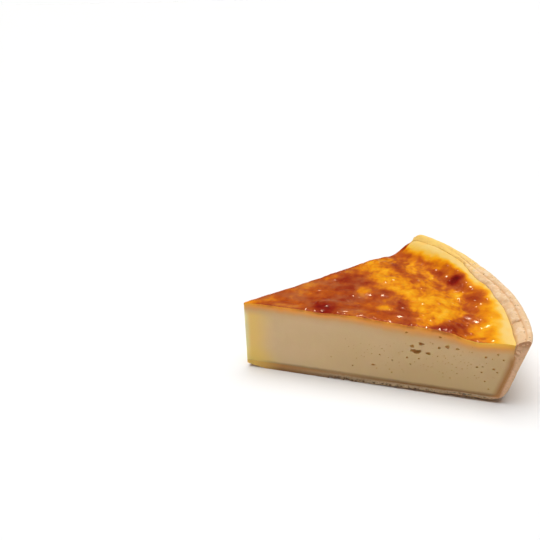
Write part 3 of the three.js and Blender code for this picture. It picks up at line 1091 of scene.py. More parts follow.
    def pit(self, along: float, height: float, wide: float, tall: float) -> Array:
        """Gives the points of an opened bubble, in rings around its deepest point.

        Args:
            along: distance of its middle along the cut.
            height: height of its middle.
            wide: its half width.
            tall: its half height.

        Returns:
            Distance along the cut, height, depth and pore mark of each point.
        """
        large = wide > self.large_pore
        sides = self.large_pore_sides if large else self.fine_pore_sides
        deep = wide if large else self.fine_pore_depth * wide
        angle = np.linspace(0.0, 2.0 * math.pi, sides, endpoint=False)
        broad, narrow = self.pore_wobble
        wobble = 1.0 + broad * np.sin(3.0 * angle + along) + narrow * np.sin(5.0 * angle + height)
        outline = np.stack([wide * np.cos(angle), tall * np.sin(angle)], axis=1) * wobble[:, None]
        rings = []
        for share in self.large_pore_rings if large else self.fine_pore_rings:
            rings.append(at_height(outline * share + (along, height), deep * math.sqrt(1.0 - share**2)))
        rings.append(np.array([[along, height, deep]]))
        points = np.concatenate(rings)
        return at_height(points, 1.0 if large else self.fine_pore_mark)

    def cut_patch(self, cut: Cut, outline: Array, top: Array) -> tuple[Array, Array, dict[str, Array]]:
        """Builds a cut face with its pores.

        Args:
            cut: which cut.
            outline: r and z along its outline, anticlockwise with r to the right.
            top: r, z and browning along its top edge, in order of r.

        Returns:
            Points, triangles and marks.
        """
        inner = even_points(outline, self.cut_pitch, self.seed + int(cut.value))
        pits = []
        for along, height, wide, tall in self.pores_of(cut):
            away = np.hypot((inner[:, 0] - along) / wide, (inner[:, 1] - height) / tall)
            inner = inner[away > 1.0 + self.pore_margin * self.cut_pitch / tall]
            pits.append(self.pit(along, height, wide, tall))
        pit = np.concatenate(pits)
        plain = np.zeros(len(outline) + len(inner))
        sunk = np.concatenate([plain, pit[:, 2]])
        opened = np.concatenate([plain, pit[:, 3]])
        inner = np.concatenate([inner, pit[:, :2]])
        faces = fill_outline(outline, inner)
        along, height = np.concatenate([outline, inner]).T
        points = self.plan.place(along, cut.value, height)
        points = points - sunk[:, None] * self.plan.outward(cut)
        flank = self.plan.inner_radius(np.full(len(along), cut.value), height) - along
        marks = {
            "depth": np.interp(along, top[:, 0], top[:, 1]) - height,
            "soak": np.minimum(height - self.plan.base_thickness, flank),
            "pore": np.where(sunk > 0.0, opened, 0.0),
            "along": along,
            "flank": flank,
            "browning": np.interp(along, top[:, 0], top[:, 2]),
        }
        return points, cut.facing_out(faces), marks

    def cut_outline(self, line: Array, flank: Array, top: Array) -> Array:
        """Gives the outline of a cut face.

        Args:
            line: r of points along its lower edge.
            flank: r and z up the side against the crust.
            top: r and z along its top edge, in order of r.

        Returns:
            r and z, anticlockwise with r to the right.
        """
        tip = np.arange(self.floor + self.cut_pitch, top[0, 1] - self.tip_margin, self.cut_pitch)
        return np.concatenate([
            [[0.0, self.floor]],
            at_height(line, self.floor),
            flank[:-1],
            top[::-1],
            np.stack([np.zeros(len(tip)), tip[::-1]], axis=1),
        ])

    def welded(self) -> WeldedMesh:
        """Builds the whole filling.

        Returns:
            One closed mesh.
        """
        plan = self.plan
        work = Patchwork(("browning", "depth", "soak", "pore", "along", "flank"))
        share, turn, faces = lattice(self.rows)
        r = share * plan.edge_radius(turn)
        points = plan.place(r, turn, np.zeros(len(r)))
        height = self.relief(share, turn, points)
        points[:, 2] = height
        brown = self.browning.at(points, share, turn)
        from_knife = np.minimum(plan.from_cut(points, Cut.NEAR), plan.from_cut(points, Cut.FAR))
        # the browning is darker along each cut edge
        edge_darkening = self.knife_brown * np.exp(-from_knife / self.knife_brown_reach)
        brown += edge_darkening * ease(brown, *self.knife_brown_span)

        last = np.flatnonzero(share == 1.0)
        turns = turn[last]
        side_r, side_z = self.side_section(turns, np.stack([r[last], height[last]], axis=1))
        side = plan.place(side_r, turns[:, None], side_z)
        line = np.linspace(0.0, side_r[0, 0], int(side_r[0, 0] / self.hidden_pitch))[1:-1]
        for cut, column in ((Cut.NEAR, 0), (Cut.FAR, -1)):
            edge = np.flatnonzero((turn == cut.value) | (share == 0.0))
            top = np.stack([r[edge], height[edge], brown[edge]], axis=1)
            flank = np.stack([side_r[column], side_z[column]], axis=1)
            patch, patch_faces, marks = self.cut_patch(cut, self.cut_outline(line, flank, top[:, :2]), top)
            work.add(patch, patch_faces, Face.CUT, **marks)

        work.add(points, faces, Face.BAKED, browning=brown, along=r)
        hidden = {"depth": self.hidden_depth, "along": side_r.ravel()}
        work.add(side.reshape(-1, 3), band_faces(*side_r.shape), Face.CUT, **hidden)
        rim = plan.sector_rim(line, side[:, 0], self.floor)
        inner = even_points(rim[:, :2], 2.0 * self.hidden_pitch, self.seed)
        underside = np.concatenate([rim, at_height(inner, self.floor)])
        downward = fill_outline(rim[:, :2], inner)[:, ::-1]
        work.add(underside, downward, Face.CUT, depth=self.underside_depth)
        return self.softened(work.weld())

    def softened(self, mesh: WeldedMesh) -> WeldedMesh:
        """Blunts and leans the point of the slice and gives the cut faces the drag of the knife.

        Args:
            mesh: the welded filling.

        Returns:
            The same mesh, moved.
        """
        r = np.hypot(mesh.points[:, 0], mesh.points[:, 1])
        mesh.points[:, 0] += self.blunt * fading(r, self.blunt_reach)
        raised = (mesh.points[:, 2] - self.floor) / self.centre_height
        leaning = self.point_lean * raised * fading(r, self.lean_reach)
        grain = Grain(self.seed + 7)
        for cut in Cut:
            on_cut = np.abs(self.plan.from_cut(mesh.points, cut)) < ON_CUT
            on_cut &= mesh.marks["soak"] > self.drag_clear
            dragged = self.drag.at(grain, mesh.points[on_cut] * self.drag_stretch)
            mesh.points[on_cut] += dragged[:, None] * self.plan.outward(cut)
        mesh.points[:, 0] -= leaning
        return mesh


@dataclass
class PastryShell:
    """The shortcrust shell: a thin base and a flared wall in one, cut with the slice."""

    MARKS: ClassVar[tuple[str, ...]] = ("rim", "stain", "turn", "soak", "low", "along")

    plan: SlicePlan
    columns: int = 300
    cut_pitch: float = 0.38
    hidden_pitch: float = 4.0
    end_margin: float = 0.1
    # distance of finer rows of the base behind the cut, and how many points of the edge go to one of theirs
    edge_rows: tuple[tuple[float, int], ...] = ((0.45, 1), (1.1, 2), (2, 3))
    edge_rows_start: float = 3.0
    edge_rows_widening: float = 2.5
    edge_rows_end: float = 1.0
    # turn, and the radius of the foot
    foot_rounds: Knots = ((-1, 9), (-0.6, 5.5), (1, 5.5))
    foot_steps: int = 10
    near_pull: float = 0.7
    near_pull_reach: float = 3.5
    wall_steps: int = 44
    # turn, and the radius of the lip
    lip_rounds: Knots = ((-1, 1), (-0.6, 1.5), (0.1, 1.5), (0.65, 1.25), (1, 1.25))
    lip_sweep: float = math.radians(115)
    # turn, and how far the lip is flattened inward
    lip_flats: Knots = (
        (-1, 0), (-0.6, 0.6), (-0.12, 0.7), (0.08, 1.4), (0.25, 1.7), (0.4, 1.2), (0.55, 0.5), (0.7, 0),
        (1, 0),
    )
    lip_flat_start: float = math.radians(60)
    lip_steps: int = 14
    lip_rim: float = 0.6
    crease_width: float = 0.45
    crease_depth: float = 0.45
    crease_start: float = 0.25
    crease_settled: float = 5.0
    # turn, and how far the crease sinks to the ledge
    sunk: Knots = ((-1, 0), (-0.45, 0), (0.2, 1), (0.5, 1), (0.75, 0), (1, 0))
    ledge_steps: int = 14
    ledge_width: float = 5.0
    ledge_slope_start: float = 0.1
    ledge_slope: float = 0.25
    ledge_puff: float = 0.36
    ledge_puff_far: float = 0.1
    puff_uneven: Noise = Noise(1.3, 5.5)
    wrinkle: Noise = Noise(0.75, 2.8, 2)
    wrinkle_edge: float = 0.3
    wrinkle_stretch: Triple = (1, 0.5, 1)
    wrinkle_shift: float = 17.0
    # turn of folds across the ledge, their width and depth
    folds: tuple[Triple, ...] = (
        (-0.86, 1.4, 0.35), (-0.69, 0.8, 2.8), (-0.53, 1, 0.6), (-0.4, 0.8, 0.7), (-0.26, 1.1, 0.4),
        (-0.11, 1, 0.35), (0.04, 1.1, 0.15),
    )
    fold_lean: float = 1.2
    fold_edge: float = 0.25
    # share of painted shade in the folds
    fold_shade: float = 0.6
    inner_steps: int = 8
    dry: float = 9.0
    wall_dent: Noise = Noise(0.3, 10)
    crumb: Noise = Noise(0.2, 1.3, 3)
    crumb_soak_span: Span = (0.3, 1.6)
    crumb_r_span: Span = (24, 46)
    skin: Noise = Noise(0.16, 3.2, 4)
    skin_start: float = 1.0
    foot_flat: float = 0.3
    # distance along the near cut, half width, height and depth of its chip
    chip: tuple[float, float, float, float] = (87.7, 1.6, 2, 3)
    nick_count: int = 34
    nick_along: Span = (36, 97)
    nick_half: Span = (0.5, 1.9)
    nick_height: Span = (0.2, 0.75)
    nick_depth: Span = (0.5, 1.6)
    worn_length: float = 7.0
    worn_height: float = 1.5
    worn_edge: float = 0.9
    worn_edge_span: Span = (35, 75)
    worn_edge_reach: float = 3.0
    worn_corner: float = 0.9
    worn_corner_span: Span = (79, 86)
    worn_corner_fall: float = 0.7
    worn_corner_end: Span = (92, 97)
    worn_end: float = 0.6
    worn_end_reach: float = 2.4
    worn_end_span: Span = (4, 0.5)
    ragged: Noise = Noise(0.9, 3.5, 3)
    ragged_mean: float = 0.7
    ragged_most: float = 1.4
    blunt: float = 0.3
    blunt_reach: float = 1.2
    seed: int = 5

    def from_near_end(self, turn: Array) -> Array:
        """Distance along the rim from its end at the near cut."""
        return self.plan.along_rim(turn) - self.plan.along_rim(Cut.NEAR.value)

    def wall_rows(self, turn: Array) -> Rows:
        """Gives the crust from the underside round the foot, up the outside and over the lip.

        Args:
            turn: turn of each column.

        Returns:
            The r, the z, the rim share and the painted ledge shade of each row of points.
        """
        plan = self.plan
        flare = plan.flare
        rows: Rows = []
        pull = self.near_pull * np.exp(-self.from_near_end(turn) / self.near_pull_reach)
        foot_round = through(turn, self.foot_rounds)
        inset = foot_round * (1.0 - math.sin(flare)) / math.cos(flare)
        for angle in np.linspace(-math.pi / 2.0, -flare, self.foot_steps + 1):
            r = plan.foot_radius - inset + foot_round * math.cos(angle) - pull
            rows.append((r, foot_round * (1.0 + math.sin(angle)), 0.0, 0.0))

        lip_round = through(turn, self.lip_rounds)
        lip_z = plan.rim_height(turn) - lip_round
        lip_r = plan.outer_radius(lip_z) - lip_round / math.cos(flare) - pull
        wall_start = foot_round * (1.0 - math.sin(flare))
        wall_end = lip_z - lip_round * math.sin(flare)
        for step in range(1, self.wall_steps):
            z = blend(wall_start, wall_end, step / self.wall_steps)
            rows.append((plan.outer_radius(z) - pull, z, 0.0, 0.0))
        for angle in np.linspace(-flare, self.lip_sweep, self.lip_steps + 1):
            inward = max(0.0, angle - self.lip_flat_start) / (self.lip_sweep - self.lip_flat_start)
            r = lip_r + lip_round * math.cos(angle) - inward * through(turn, self.lip_flats)
            rim = max(0.0, math.sin(angle)) * self.lip_rim
            rows.append((r, lip_z + lip_round * math.sin(angle), rim, 0.0))
        return rows

    def ledge_relief(self, turn: Array, share: float, formed: Array) -> tuple[Array, Array]:
        """Gives the puffs, wrinkles and folds of a row of the ledge.

        Args:
            turn: turn of each column.
            share: share of the way from the crease to the custard.
            formed: how far the ledge has formed away from the near cut.

        Returns:
            Heights to add, and the painted shade in the crease and the folds.
        """
        grain = Grain(self.seed)
        covered = self.plan.covered(turn)
        along = self.plan.along_rim(turn)
        across = np.full(len(turn), self.ledge_width * share)
        places = np.stack([along, across, np.zeros(len(turn))], axis=1)
        bulge = math.sin(share * math.pi)
        puffed = blend(self.ledge_puff * formed, self.ledge_puff_far, covered)
        puff = puffed * bulge * (1.0 + self.puff_uneven.at(grain, places))
        wrinkled = self.wrinkle.at(grain, places * self.wrinkle_stretch + self.wrinkle_shift)
        puff = puff + blend(self.wrinkle_edge, 1.0, bulge) * wrinkled * formed * (1.0 - covered)
        # painted shade in the crease and the folds
        crease_shade = np.full(len(turn), (1.0 - share) ** 2)
        for fold_turn, width, depth in self.folds:
            leaning = along + self.fold_lean * (share - 0.5)
            groove = depth * hill(leaning, self.plan.along_rim(fold_turn), width)
            puff = puff - blend(self.fold_edge, 1.0, bulge) * groove
            crease_shade = np.maximum(crease_shade, np.minimum(self.fold_shade * groove, 1.0))
        return puff, crease_shade

    def inner_rows(self, turn: Array, lip_r: Array, lip_z: Array) -> Rows:
        """Gives the crust from the crease behind the lip over the ledge and down to the base.

        Args:
            turn: turn of each column.
            lip_r: r of the inner edge of the lip.
            lip_z: height of that edge.

        Returns:
            The r, the z, the rim share and the painted ledge shade of each row of points.
        """
        plan = self.plan
        formed = ease(self.from_near_end(turn), 0.0, self.crease_settled)
        formed = blend(self.crease_start, 1.0, formed)
        ledge_z = plan.ledge_height(turn)
        ledge_r = plan.inner_radius(turn, ledge_z)
        crease_r = lip_r - self.crease_width
        crease_z = lip_z - self.crease_depth * formed * (1.0 - plan.covered(turn))
        gentle = ledge_z + self.ledge_slope_start + self.ledge_slope * (crease_r - ledge_r)
        crease_z = blend(crease_z, np.minimum(crease_z, gentle), through(turn, self.sunk))
        rows: Rows = [(crease_r, crease_z, 1.0, 0.0)]
        for step in range(1, self.ledge_steps + 1):
            share = step / self.ledge_steps
            puff, crease_shade = self.ledge_relief(turn, share, formed)
            z = blend(crease_z, ledge_z, share) + puff
            rows.append((blend(crease_r, ledge_r, share), z, crease_shade, share))
        for step in range(1, self.inner_steps):
            z = blend(ledge_z, plan.corner_height, step / self.inner_steps)
            rows.append((plan.inner_radius(turn, z), z, 0.0, 1.0))
        for r, z in zip(*plan.corner_arc(plan.inner_round)):
            rows.append((r, z, 0.0, 1.0))
        return rows

    def section(self, turn: Array) -> list[Array]:
        """Gives the crust from the underside round the foot, up the wall, over the rim and down to the base.

        Args:
            turn: turn of each column.

        Returns:
            The r, the z, the rim share and the ledge shade of the points, one column a row. The rim share is
            1 at the crease and carries the painted shade of the crease and the folds, and the ledge shade, a
            painted shade, is 1 beside the custard.
        """
        rows = self.wall_rows(turn)
        lip_r, lip_z = rows[-1][:2]
        rows += self.inner_rows(turn, lip_r, lip_z)
        parts = zip(*rows)
        return [np.stack([np.broadcast_to(row, turn.shape) for row in part], axis=1) for part in parts]

    def sector(self, line: Array, arc: Array, z: float) -> tuple[Array, Array]:
        """Builds a flat face of the base, finer along its cut edges.

        Args:
            line: r of points along the cuts.
            arc: points along the crust, from the near cut to the far one.
            z: height of the face.

        Returns:
            Points and upward triangles.
        """
        rim = self.plan.sector_rim(line, arc, z)
        rows = [even_points(rim[:, :2], self.hidden_pitch, self.seed)]
        for cut in Cut:
            inward = -self.plan.outward(cut)
            for away, step in self.edge_rows:
                start = self.edge_rows_start + self.edge_rows_widening * away
                reach = line[(line > start) & (line < line[-1] - self.edge_rows_end)][::step]
                rows.append((self.plan.place(reach, cut.value, z) + inward * away)[:, :2])
        inner = np.concatenate(rows)
        return np.concatenate([rim, at_height(inner, z)]), fill_outline(rim[:, :2], inner)

    def add_cut(
        self, work: Patchwork, cut: Cut, profile: tuple[Array, ...], bottom: Array, top: Array
    ) -> None:
        """Adds a cut face of the crust.

        Args:
            work: mesh to add it to.
            cut: which cut.
            profile: r, z and rim share along the section of the crust at the cut.
            bottom: r of points along the lower edge of the base.
            top: r of points along the upper edge of the base.
        """
        plan = self.plan
        r, z, rim = profile
        tip = np.arange(self.cut_pitch, plan.base_thickness - self.end_margin, self.cut_pitch)
        outline = np.concatenate([
            [[0.0, 0.0]],
            at_height(bottom, 0.0),
            np.stack([r, z], axis=1),
            at_height(top[::-1], plan.base_thickness),
            [[0.0, plan.base_thickness]],
            np.stack([np.zeros(len(tip)), tip[::-1]], axis=1),
        ])
        inner = even_points(outline, self.cut_pitch, self.seed + int(cut.value))
        faces = cut.facing_out(fill_outline(outline, inner))
        along, height = np.concatenate([outline, inner]).T
        turns = np.full(len(along), cut.value)
        beside = along - plan.inner_radius(turns, height)
        beside = np.where(height < plan.edge_height(turns), beside, self.dry)
        soak = np.maximum(plan.base_thickness - height, np.where(along > r[-1], beside, -self.dry))
        crease = np.zeros(len(along))
        crease[len(bottom) + 1:len(bottom) + 1 + len(r)] = rim
        marks = {"rim": crease, "turn": turns, "soak": np.maximum(soak, 0.0), "low": height, "along": along}
        work.add(plan.place(along, cut.value, height), faces, Face.CUT, **marks)

    def welded(self) -> WeldedMesh:
        """Builds the whole shell.

        Returns:
            One closed mesh.
        """
        plan = self.plan
        work = Patchwork(self.MARKS)
        turn = np.linspace(-1.0, 1.0, self.columns + 1)
        r, z, rim, stain = self.section(turn)
        band = plan.place(r, turn[:, None], z)
        bottom = np.arange(self.cut_pitch, r[0, 0] - self.end_margin, self.cut_pitch)
        top = np.arange(self.cut_pitch, r[0, -1] - self.end_margin, self.cut_pitch)
        for cut, column in ((Cut.NEAR, 0), (Cut.FAR, -1)):
            self.add_cut(work, cut, (r[column], z[column], rim[column]), bottom, top)

        turns = np.repeat(turn, r.shape[1])
        marks = {"rim": rim.ravel(), "stain": stain.ravel(), "turn": turns, "low": z.ravel()}
        work.add(band.reshape(-1, 3), band_faces(*r.shape), Face.BAKED, soak=self.dry, **marks)
        points, faces = self.sector(bottom, band[:, 0], 0.0)
        work.add(points, faces[:, ::-1], Face.BAKED, soak=self.dry)
        points, faces = self.sector(top, band[:, -1], plan.base_thickness)
        work.add(points, faces, Face.BAKED, low=plan.base_thickness)
        return self.roughened(work.weld())

    def surface_relief(self, mesh: WeldedMesh, r: Array) -> Array:
        """Gives the crumb of the cuts and the uneven skin of the outside.

        Args:
            mesh: the welded shell.
            r: distance of its points from the centre of the flan.

        Returns:
            How far each point stands out.
        """
        plan = self.plan
        points = mesh.points
        grain = Grain(self.seed + 1)
        behind = [np.abs(plan.from_cut(points, cut)) for cut in Cut]
        dry = ease(mesh.marks["soak"], *self.crumb_soak_span) * ease(r, *self.crumb_r_span)
        crumb = self.crumb.at(grain, points) * dry
        skin = self.skin.at(grain, points) + self.wall_dent.at(grain, points)
        inside = plan.inner_radius(mesh.marks["turn"], points[:, 2]) + self.skin_start
        outside = (r > inside) | (mesh.marks["rim"] > 0.0)
        relief = np.where(np.minimum(*behind) < ON_CUT, crumb, np.where(outside, skin, 0.0))
        return np.where(points[:, 2] < self.foot_flat, np.minimum(relief, 0.0), relief)

    def worn_base(self, points: Array) -> Array:
        """Gives the wear of the lower edges: the worn point, the chip, many nicks and the rounded edge.

        Args:
            points: points of the shell.

        Returns:
            How far the underside is lifted at each point.
        """
        lift = self.worn_height * np.clip(1.0 - points[:, 0] / self.worn_length, 0.0, None)
        rng = np.random.default_rng(self.seed)
        for cut in Cut:
            along = points @ self.plan.place(1.0, cut.value, 0.0)
            behind = self.plan.from_cut(points, cut)
            nicks = [self.chip] if cut is Cut.NEAR else []
            for _ in range(self.nick_count):
                spans = (self.nick_along, self.nick_half, self.nick_height, self.nick_depth)
                nicks.append(tuple(rng.uniform(*span) for span in spans))
            for place, half, height, depth in nicks:
                away = ((along - place) / half) ** 2 + (behind / depth) ** 2
                lift = np.maximum(lift, height * np.sqrt(np.clip(1.0 - away, 0.0, None)))
            corner = 1.0 - self.worn_corner_fall * ease(along, *self.worn_corner_end)
            corner = self.worn_corner * ease(along, *self.worn_corner_span) * corner
            worn = self.worn_edge * ease(along, *self.worn_edge_span) + corner
            lift = np.maximum(lift, worn * fading(behind, self.worn_edge_reach))
        return lift

    def worn_rim(self, points: Array) -> Array:
        """Gives the wear of the two ends of the rim.

        Args:
            points: points of the shell.

        Returns:
            How far each point is lowered.
        """
        ragged = self.ragged_mean + self.ragged.at(Grain(self.seed + 1), points)
        ragged = self.worn_end * np.clip(ragged, 0.0, self.ragged_most)
        start, full = self.worn_end_span
        total = np.zeros(len(points))
        for cut in Cut:
            crest = self.plan.rim_height(np.array(cut.value))
            high = ease(points[:, 2], crest - start, crest - full)
            total += ragged * high * fading(self.plan.from_cut(points, cut), self.worn_end_reach)
        return total

    def roughened(self, mesh: WeldedMesh) -> WeldedMesh:
        """Gives the shell its crumb, its chips and its worn point.

        Args:
            mesh: the welded shell.

        Returns:
            The same mesh, moved.
        """
        points = mesh.points
        r = np.hypot(points[:, 0], points[:, 1])
        moved = points + self.surface_relief(mesh, r)[:, None] * mesh.normals()
        moved[:, 2] -= self.worn_rim(points)
        low = np.clip(1.0 - points[:, 2] / self.plan.base_thickness, 0.0, 1.0)
        moved[:, 2] = np.maximum(moved[:, 2] + self.worn_base(points) * low, 0.0)
        moved[:, 0] += self.blunt * fading(r, self.blunt_reach)
        mesh.points = moved
        return mesh


@dataclass
class CrumbScatter:
    """Crumbs of the crust that stand out of its cut base and of the ends of its rim."""

    plan: SlicePlan
    count: int = 90
    along: Span = (40, 95)
    heights: Span = (1.2, 2)
    sizes: Span = (0.14, 0.34)
    sunk: Span = (-0.5, 0.1)
    soaks: Span = (0.8, 3)
    low: float = 2.0
    squash: Triple = (1, 1, 0.75)
    smoothness: int = 2
    uneven: Noise = Noise(0.9, 1.1)
    uneven_reach: float = 50.0
    # distance along the cut, height and size of the larger ones at the end of the rim
    rim_lumps: tuple[Triple, ...] = (
        (104.9, 22.5, 0.95), (104.4, 20.9, 0.85), (105, 24.4, 0.5), (106.4, 25.4, 0.45),
        (107.6, 26, 0.35), (104.4, 25.6, 0.4), (106, 23, 0.35),
    )
    seed: int = 9

    def ball(self) -> tuple[Array, Array]:
        """Makes the round shape that the crumbs start from.

        Returns:
            Points and triangles of a ball of radius 1.
        """
        lump = bmesh.new()
        bmesh.ops.create_icosphere(lump, subdivisions=self.smoothness, radius=1.0)
        points = np.array([vertex.co[:] for vertex in lump.verts])
        faces = np.array([[vertex.index for vertex in face.verts] for face in lump.faces])
        lump.free()
        return points, faces

    def welded(self) -> WeldedMesh:
        """Builds all crumbs.

        Returns:
            One mesh of separate lumps.
        """
        ball, faces = self.ball()
        rng = np.random.default_rng(self.seed)
        grain = Grain(self.seed)
        work = Patchwork(PastryShell.MARKS)
        for cut in Cut:
            places = list(self.rim_lumps)
            for _ in range(self.count):
                size = rng.uniform(*self.sizes)
                places.append((rng.uniform(*self.along), rng.uniform(*self.heights), size))
            for along, height, size in places:
                shift = self.uneven_reach * rng.uniform(size=3)
                swelling = 1.0 + self.uneven.at(grain, ball + shift)
                crumb = ball * swelling[:, None] * size * self.squash
                middle = self.plan.place(along, cut.value, height)
                middle = middle + self.plan.outward(cut) * size * rng.uniform(*self.sunk)
                soak = rng.uniform(*self.soaks)
                marks = {"turn": cut.value, "soak": soak, "low": self.low, "along": along}
                work.add(crumb + middle, faces, Face.BAKED, **marks)
        return work.weld()


class Value:
    """A number on a socket of a node, which takes part in sums written in Python."""

    def __init__(self, sheet: "NodeSheet", socket: bpy.types.NodeSocket) -> None:
        """Wraps a socket of a node sheet."""
        self.sheet = sheet
        self.socket = socket

    def __add__(self, other: "Value | float") -> "Value":
        """Adds a Math node that adds."""
        return self.sheet.maths("ADD", self, other)

    __radd__ = __add__

    def __sub__(self, other: "Value | float") -> "Value":
        """Adds a Math node that takes other away."""
        return self.sheet.maths("SUBTRACT", self, other)

    def __rsub__(self, other: "Value | float") -> "Value":
        """Adds a Math node that takes this away from other."""
        return self.sheet.maths("SUBTRACT", other, self)

    def __mul__(self, other: "Value | float") -> "Value":
        """Adds a Math node that multiplies."""
        return self.sheet.maths("MULTIPLY", self, other)

    __rmul__ = __mul__

    def __truediv__(self, other: "Value | float") -> "Value":
        """Adds a Math node that divides."""
        return self.sheet.maths("DIVIDE", self, other)

    def ease(self, start: float, end: float) -> "Value":
        """Eases this from 0 at start to 1 at end, which may lie below start."""
        sockets = {"Value": self, "From Min": start, "From Max": end}
        return self.sheet.node("ShaderNodeMapRange", {"interpolation_type": "SMOOTHSTEP"}, sockets)


class NodeSheet:
    """The node tree of a material, written as expressions."""

    def __init__(self, name: str) -> None:
        """Starts a material with a bare surface shader.

        Args:
            name: name of the material.
        """
        self.material = bpy.data.materials.new(name)
        self.material.use_nodes = True
        self.tree = self.material.node_tree
        self.surface = next(node for node in self.tree.nodes if node.type == "BSDF_PRINCIPLED")
        self.places = self.node("ShaderNodeTexCoord", {}, {}, "Object")

    def node(self, kind: str, settings: dict, sockets: dict, output: str | int = 0) -> Value:
        """Adds a node.

        Args:
            kind: Blender's name for its type.
            settings: properties, set first; "stops" are a ramp's places and colours.
            sockets: numbers, colours or links by the input's name or number.
            output: name or number of the output to use.

        Returns:
            That output.
        """
        made = self.tree.nodes.new(kind)
        for name, setting in settings.items():
            if name == "stops":
                self.set_stops(made.color_ramp, setting)
            else:
                setattr(made, name, setting)
        self.feed(made, sockets)
        return Value(self, made.outputs[output])

    def feed(self, target: bpy.types.Node, sockets: dict) -> None:
        """Sets or links the inputs of a node.

        Args:
            target: the node.
            sockets: what its inputs get, by name or number.
        """
        for name, given in sockets.items():
            if isinstance(given, Value):
                self.tree.links.new(given.socket, target.inputs[name])
            else:
                target.inputs[name].default_value = given

    @staticmethod
    def set_stops(ramp: bpy.types.ColorRamp, stops: Stops) -> None:
        """Sets the stops of a colour ramp.

        Args:
            ramp: the ramp.
            stops: place and colour of each stop, in order.
        """
        while len(ramp.elements) < len(stops):
            ramp.elements.new(1.0)
        for element, (place, colour) in zip(ramp.elements, stops):
            element.position = place
            element.color = colour

    def maths(self, operation: str, first: Value | float, second: Value | float) -> Value:
        """Adds a Math node for two numbers."""
        return self.node("ShaderNodeMath", {"operation": operation}, {0: first, 1: second})

    def mark(self, name: str) -> Value:
        """Reads a mark of the mesh's points."""
        return self.node("ShaderNodeAttribute", {"attribute_name": name}, {}, "Fac")

    def noise(self, size: float, detail: float = 3.0, roughness: float = 0.55) -> Value:
        """Adds noise with swellings about size millimetres apart, from 0 to 1."""
        pattern = {"Scale": 1.0 / (size * METRES), "Detail": detail, "Roughness": roughness}
        return self.node("ShaderNodeTexNoise", {}, {"Vector": self.places, **pattern})

    def drift(self, size: float, strength: float) -> Value:
        """Adds noise about 0 with a strength, for edges that wander."""
        return (self.noise(size) - 0.5) * strength

    def cells(self, size: float) -> Value:
        """Adds the distance to scattered points about size millimetres apart, in units of that size."""
        sockets = {"Vector": self.places, "Scale": 1.0 / (size * METRES), "Randomness": 1.0}
        return self.node("ShaderNodeTexVoronoi", {}, sockets, "Distance")

    def mix(self, share: Value | float, first: Value | Colour, second: Value | Colour) -> Value:
        """Goes from the first colour to the second."""
        return self.node("ShaderNodeMix", {"data_type": "RGBA"}, {0: share, 6: first, 7: second}, 2)

    def ramp(self, share: Value, stops: Stops) -> Value:
        """Looks up a colour between stops."""
        return self.node("ShaderNodeValToRGB", {"stops": stops}, {"Fac": share})

    def bump(self, height: Value, depth: float) -> Value:
        """Turns heights from 0 to 1 into a normal for relief of a depth in millimetres."""
        sockets = {"Height": height, "Distance": depth * METRES, "Strength": 1.0}
        return self.node("ShaderNodeBump", {}, sockets)

    def finish(self, **sockets: Value | float | tuple) -> bpy.types.Material:
        """Feeds the surface shader, whose input names have underscores for spaces, and gives the material."""
        self.feed(self.surface, {name.replace("_", " "): given for name, given in sockets.items()})
        return self.material


@dataclass(frozen=True)
class Wash:
    """A colour laid over another: the span of a mark over which it comes in, and its greatest share."""

    colour: Colour
    span: Span
    share: float = 1.0

    def laid(self, mark: Value, base: Value | Colour, where: Value | float = 1.0) -> Value:
        """Lays the colour over a base by a mark, with the share of the wash at each place."""
        return mark.sheet.mix(mark.ease(*self.span) * (where * self.share), base, self.colour)


@dataclass(frozen=True)
class Surface:
    """How a surface takes the light, with its relief and its reach in millimetres.

    The scatter is the share of light that goes under the surface, and the reach, times the radius of each
    colour, is how far it goes there.
    """

    roughness: Span
    specular: float
    relief: float
    scatter: float
    radius: Triple
    reach: float

    def sockets(self, rough: Value, grain: Value) -> dict[str, Value | float | tuple]:
        """Gives what the shader's inputs get.

        Args:
            rough: how far the roughness goes from its first number to its second.
            grain: heights of the fine relief, from 0 to 1.

        Returns:
            Numbers and links by the names of the inputs.
        """
        first, second = self.roughness
        return {
            "Roughness": first + rough * (second - first),
            "Specular_IOR_Level": self.specular,
            "Normal": grain.sheet.bump(grain, self.relief),
            "Subsurface_Weight": self.scatter,
            "Subsurface_Radius": self.radius,
            "Subsurface_Scale": self.reach * METRES,
        }


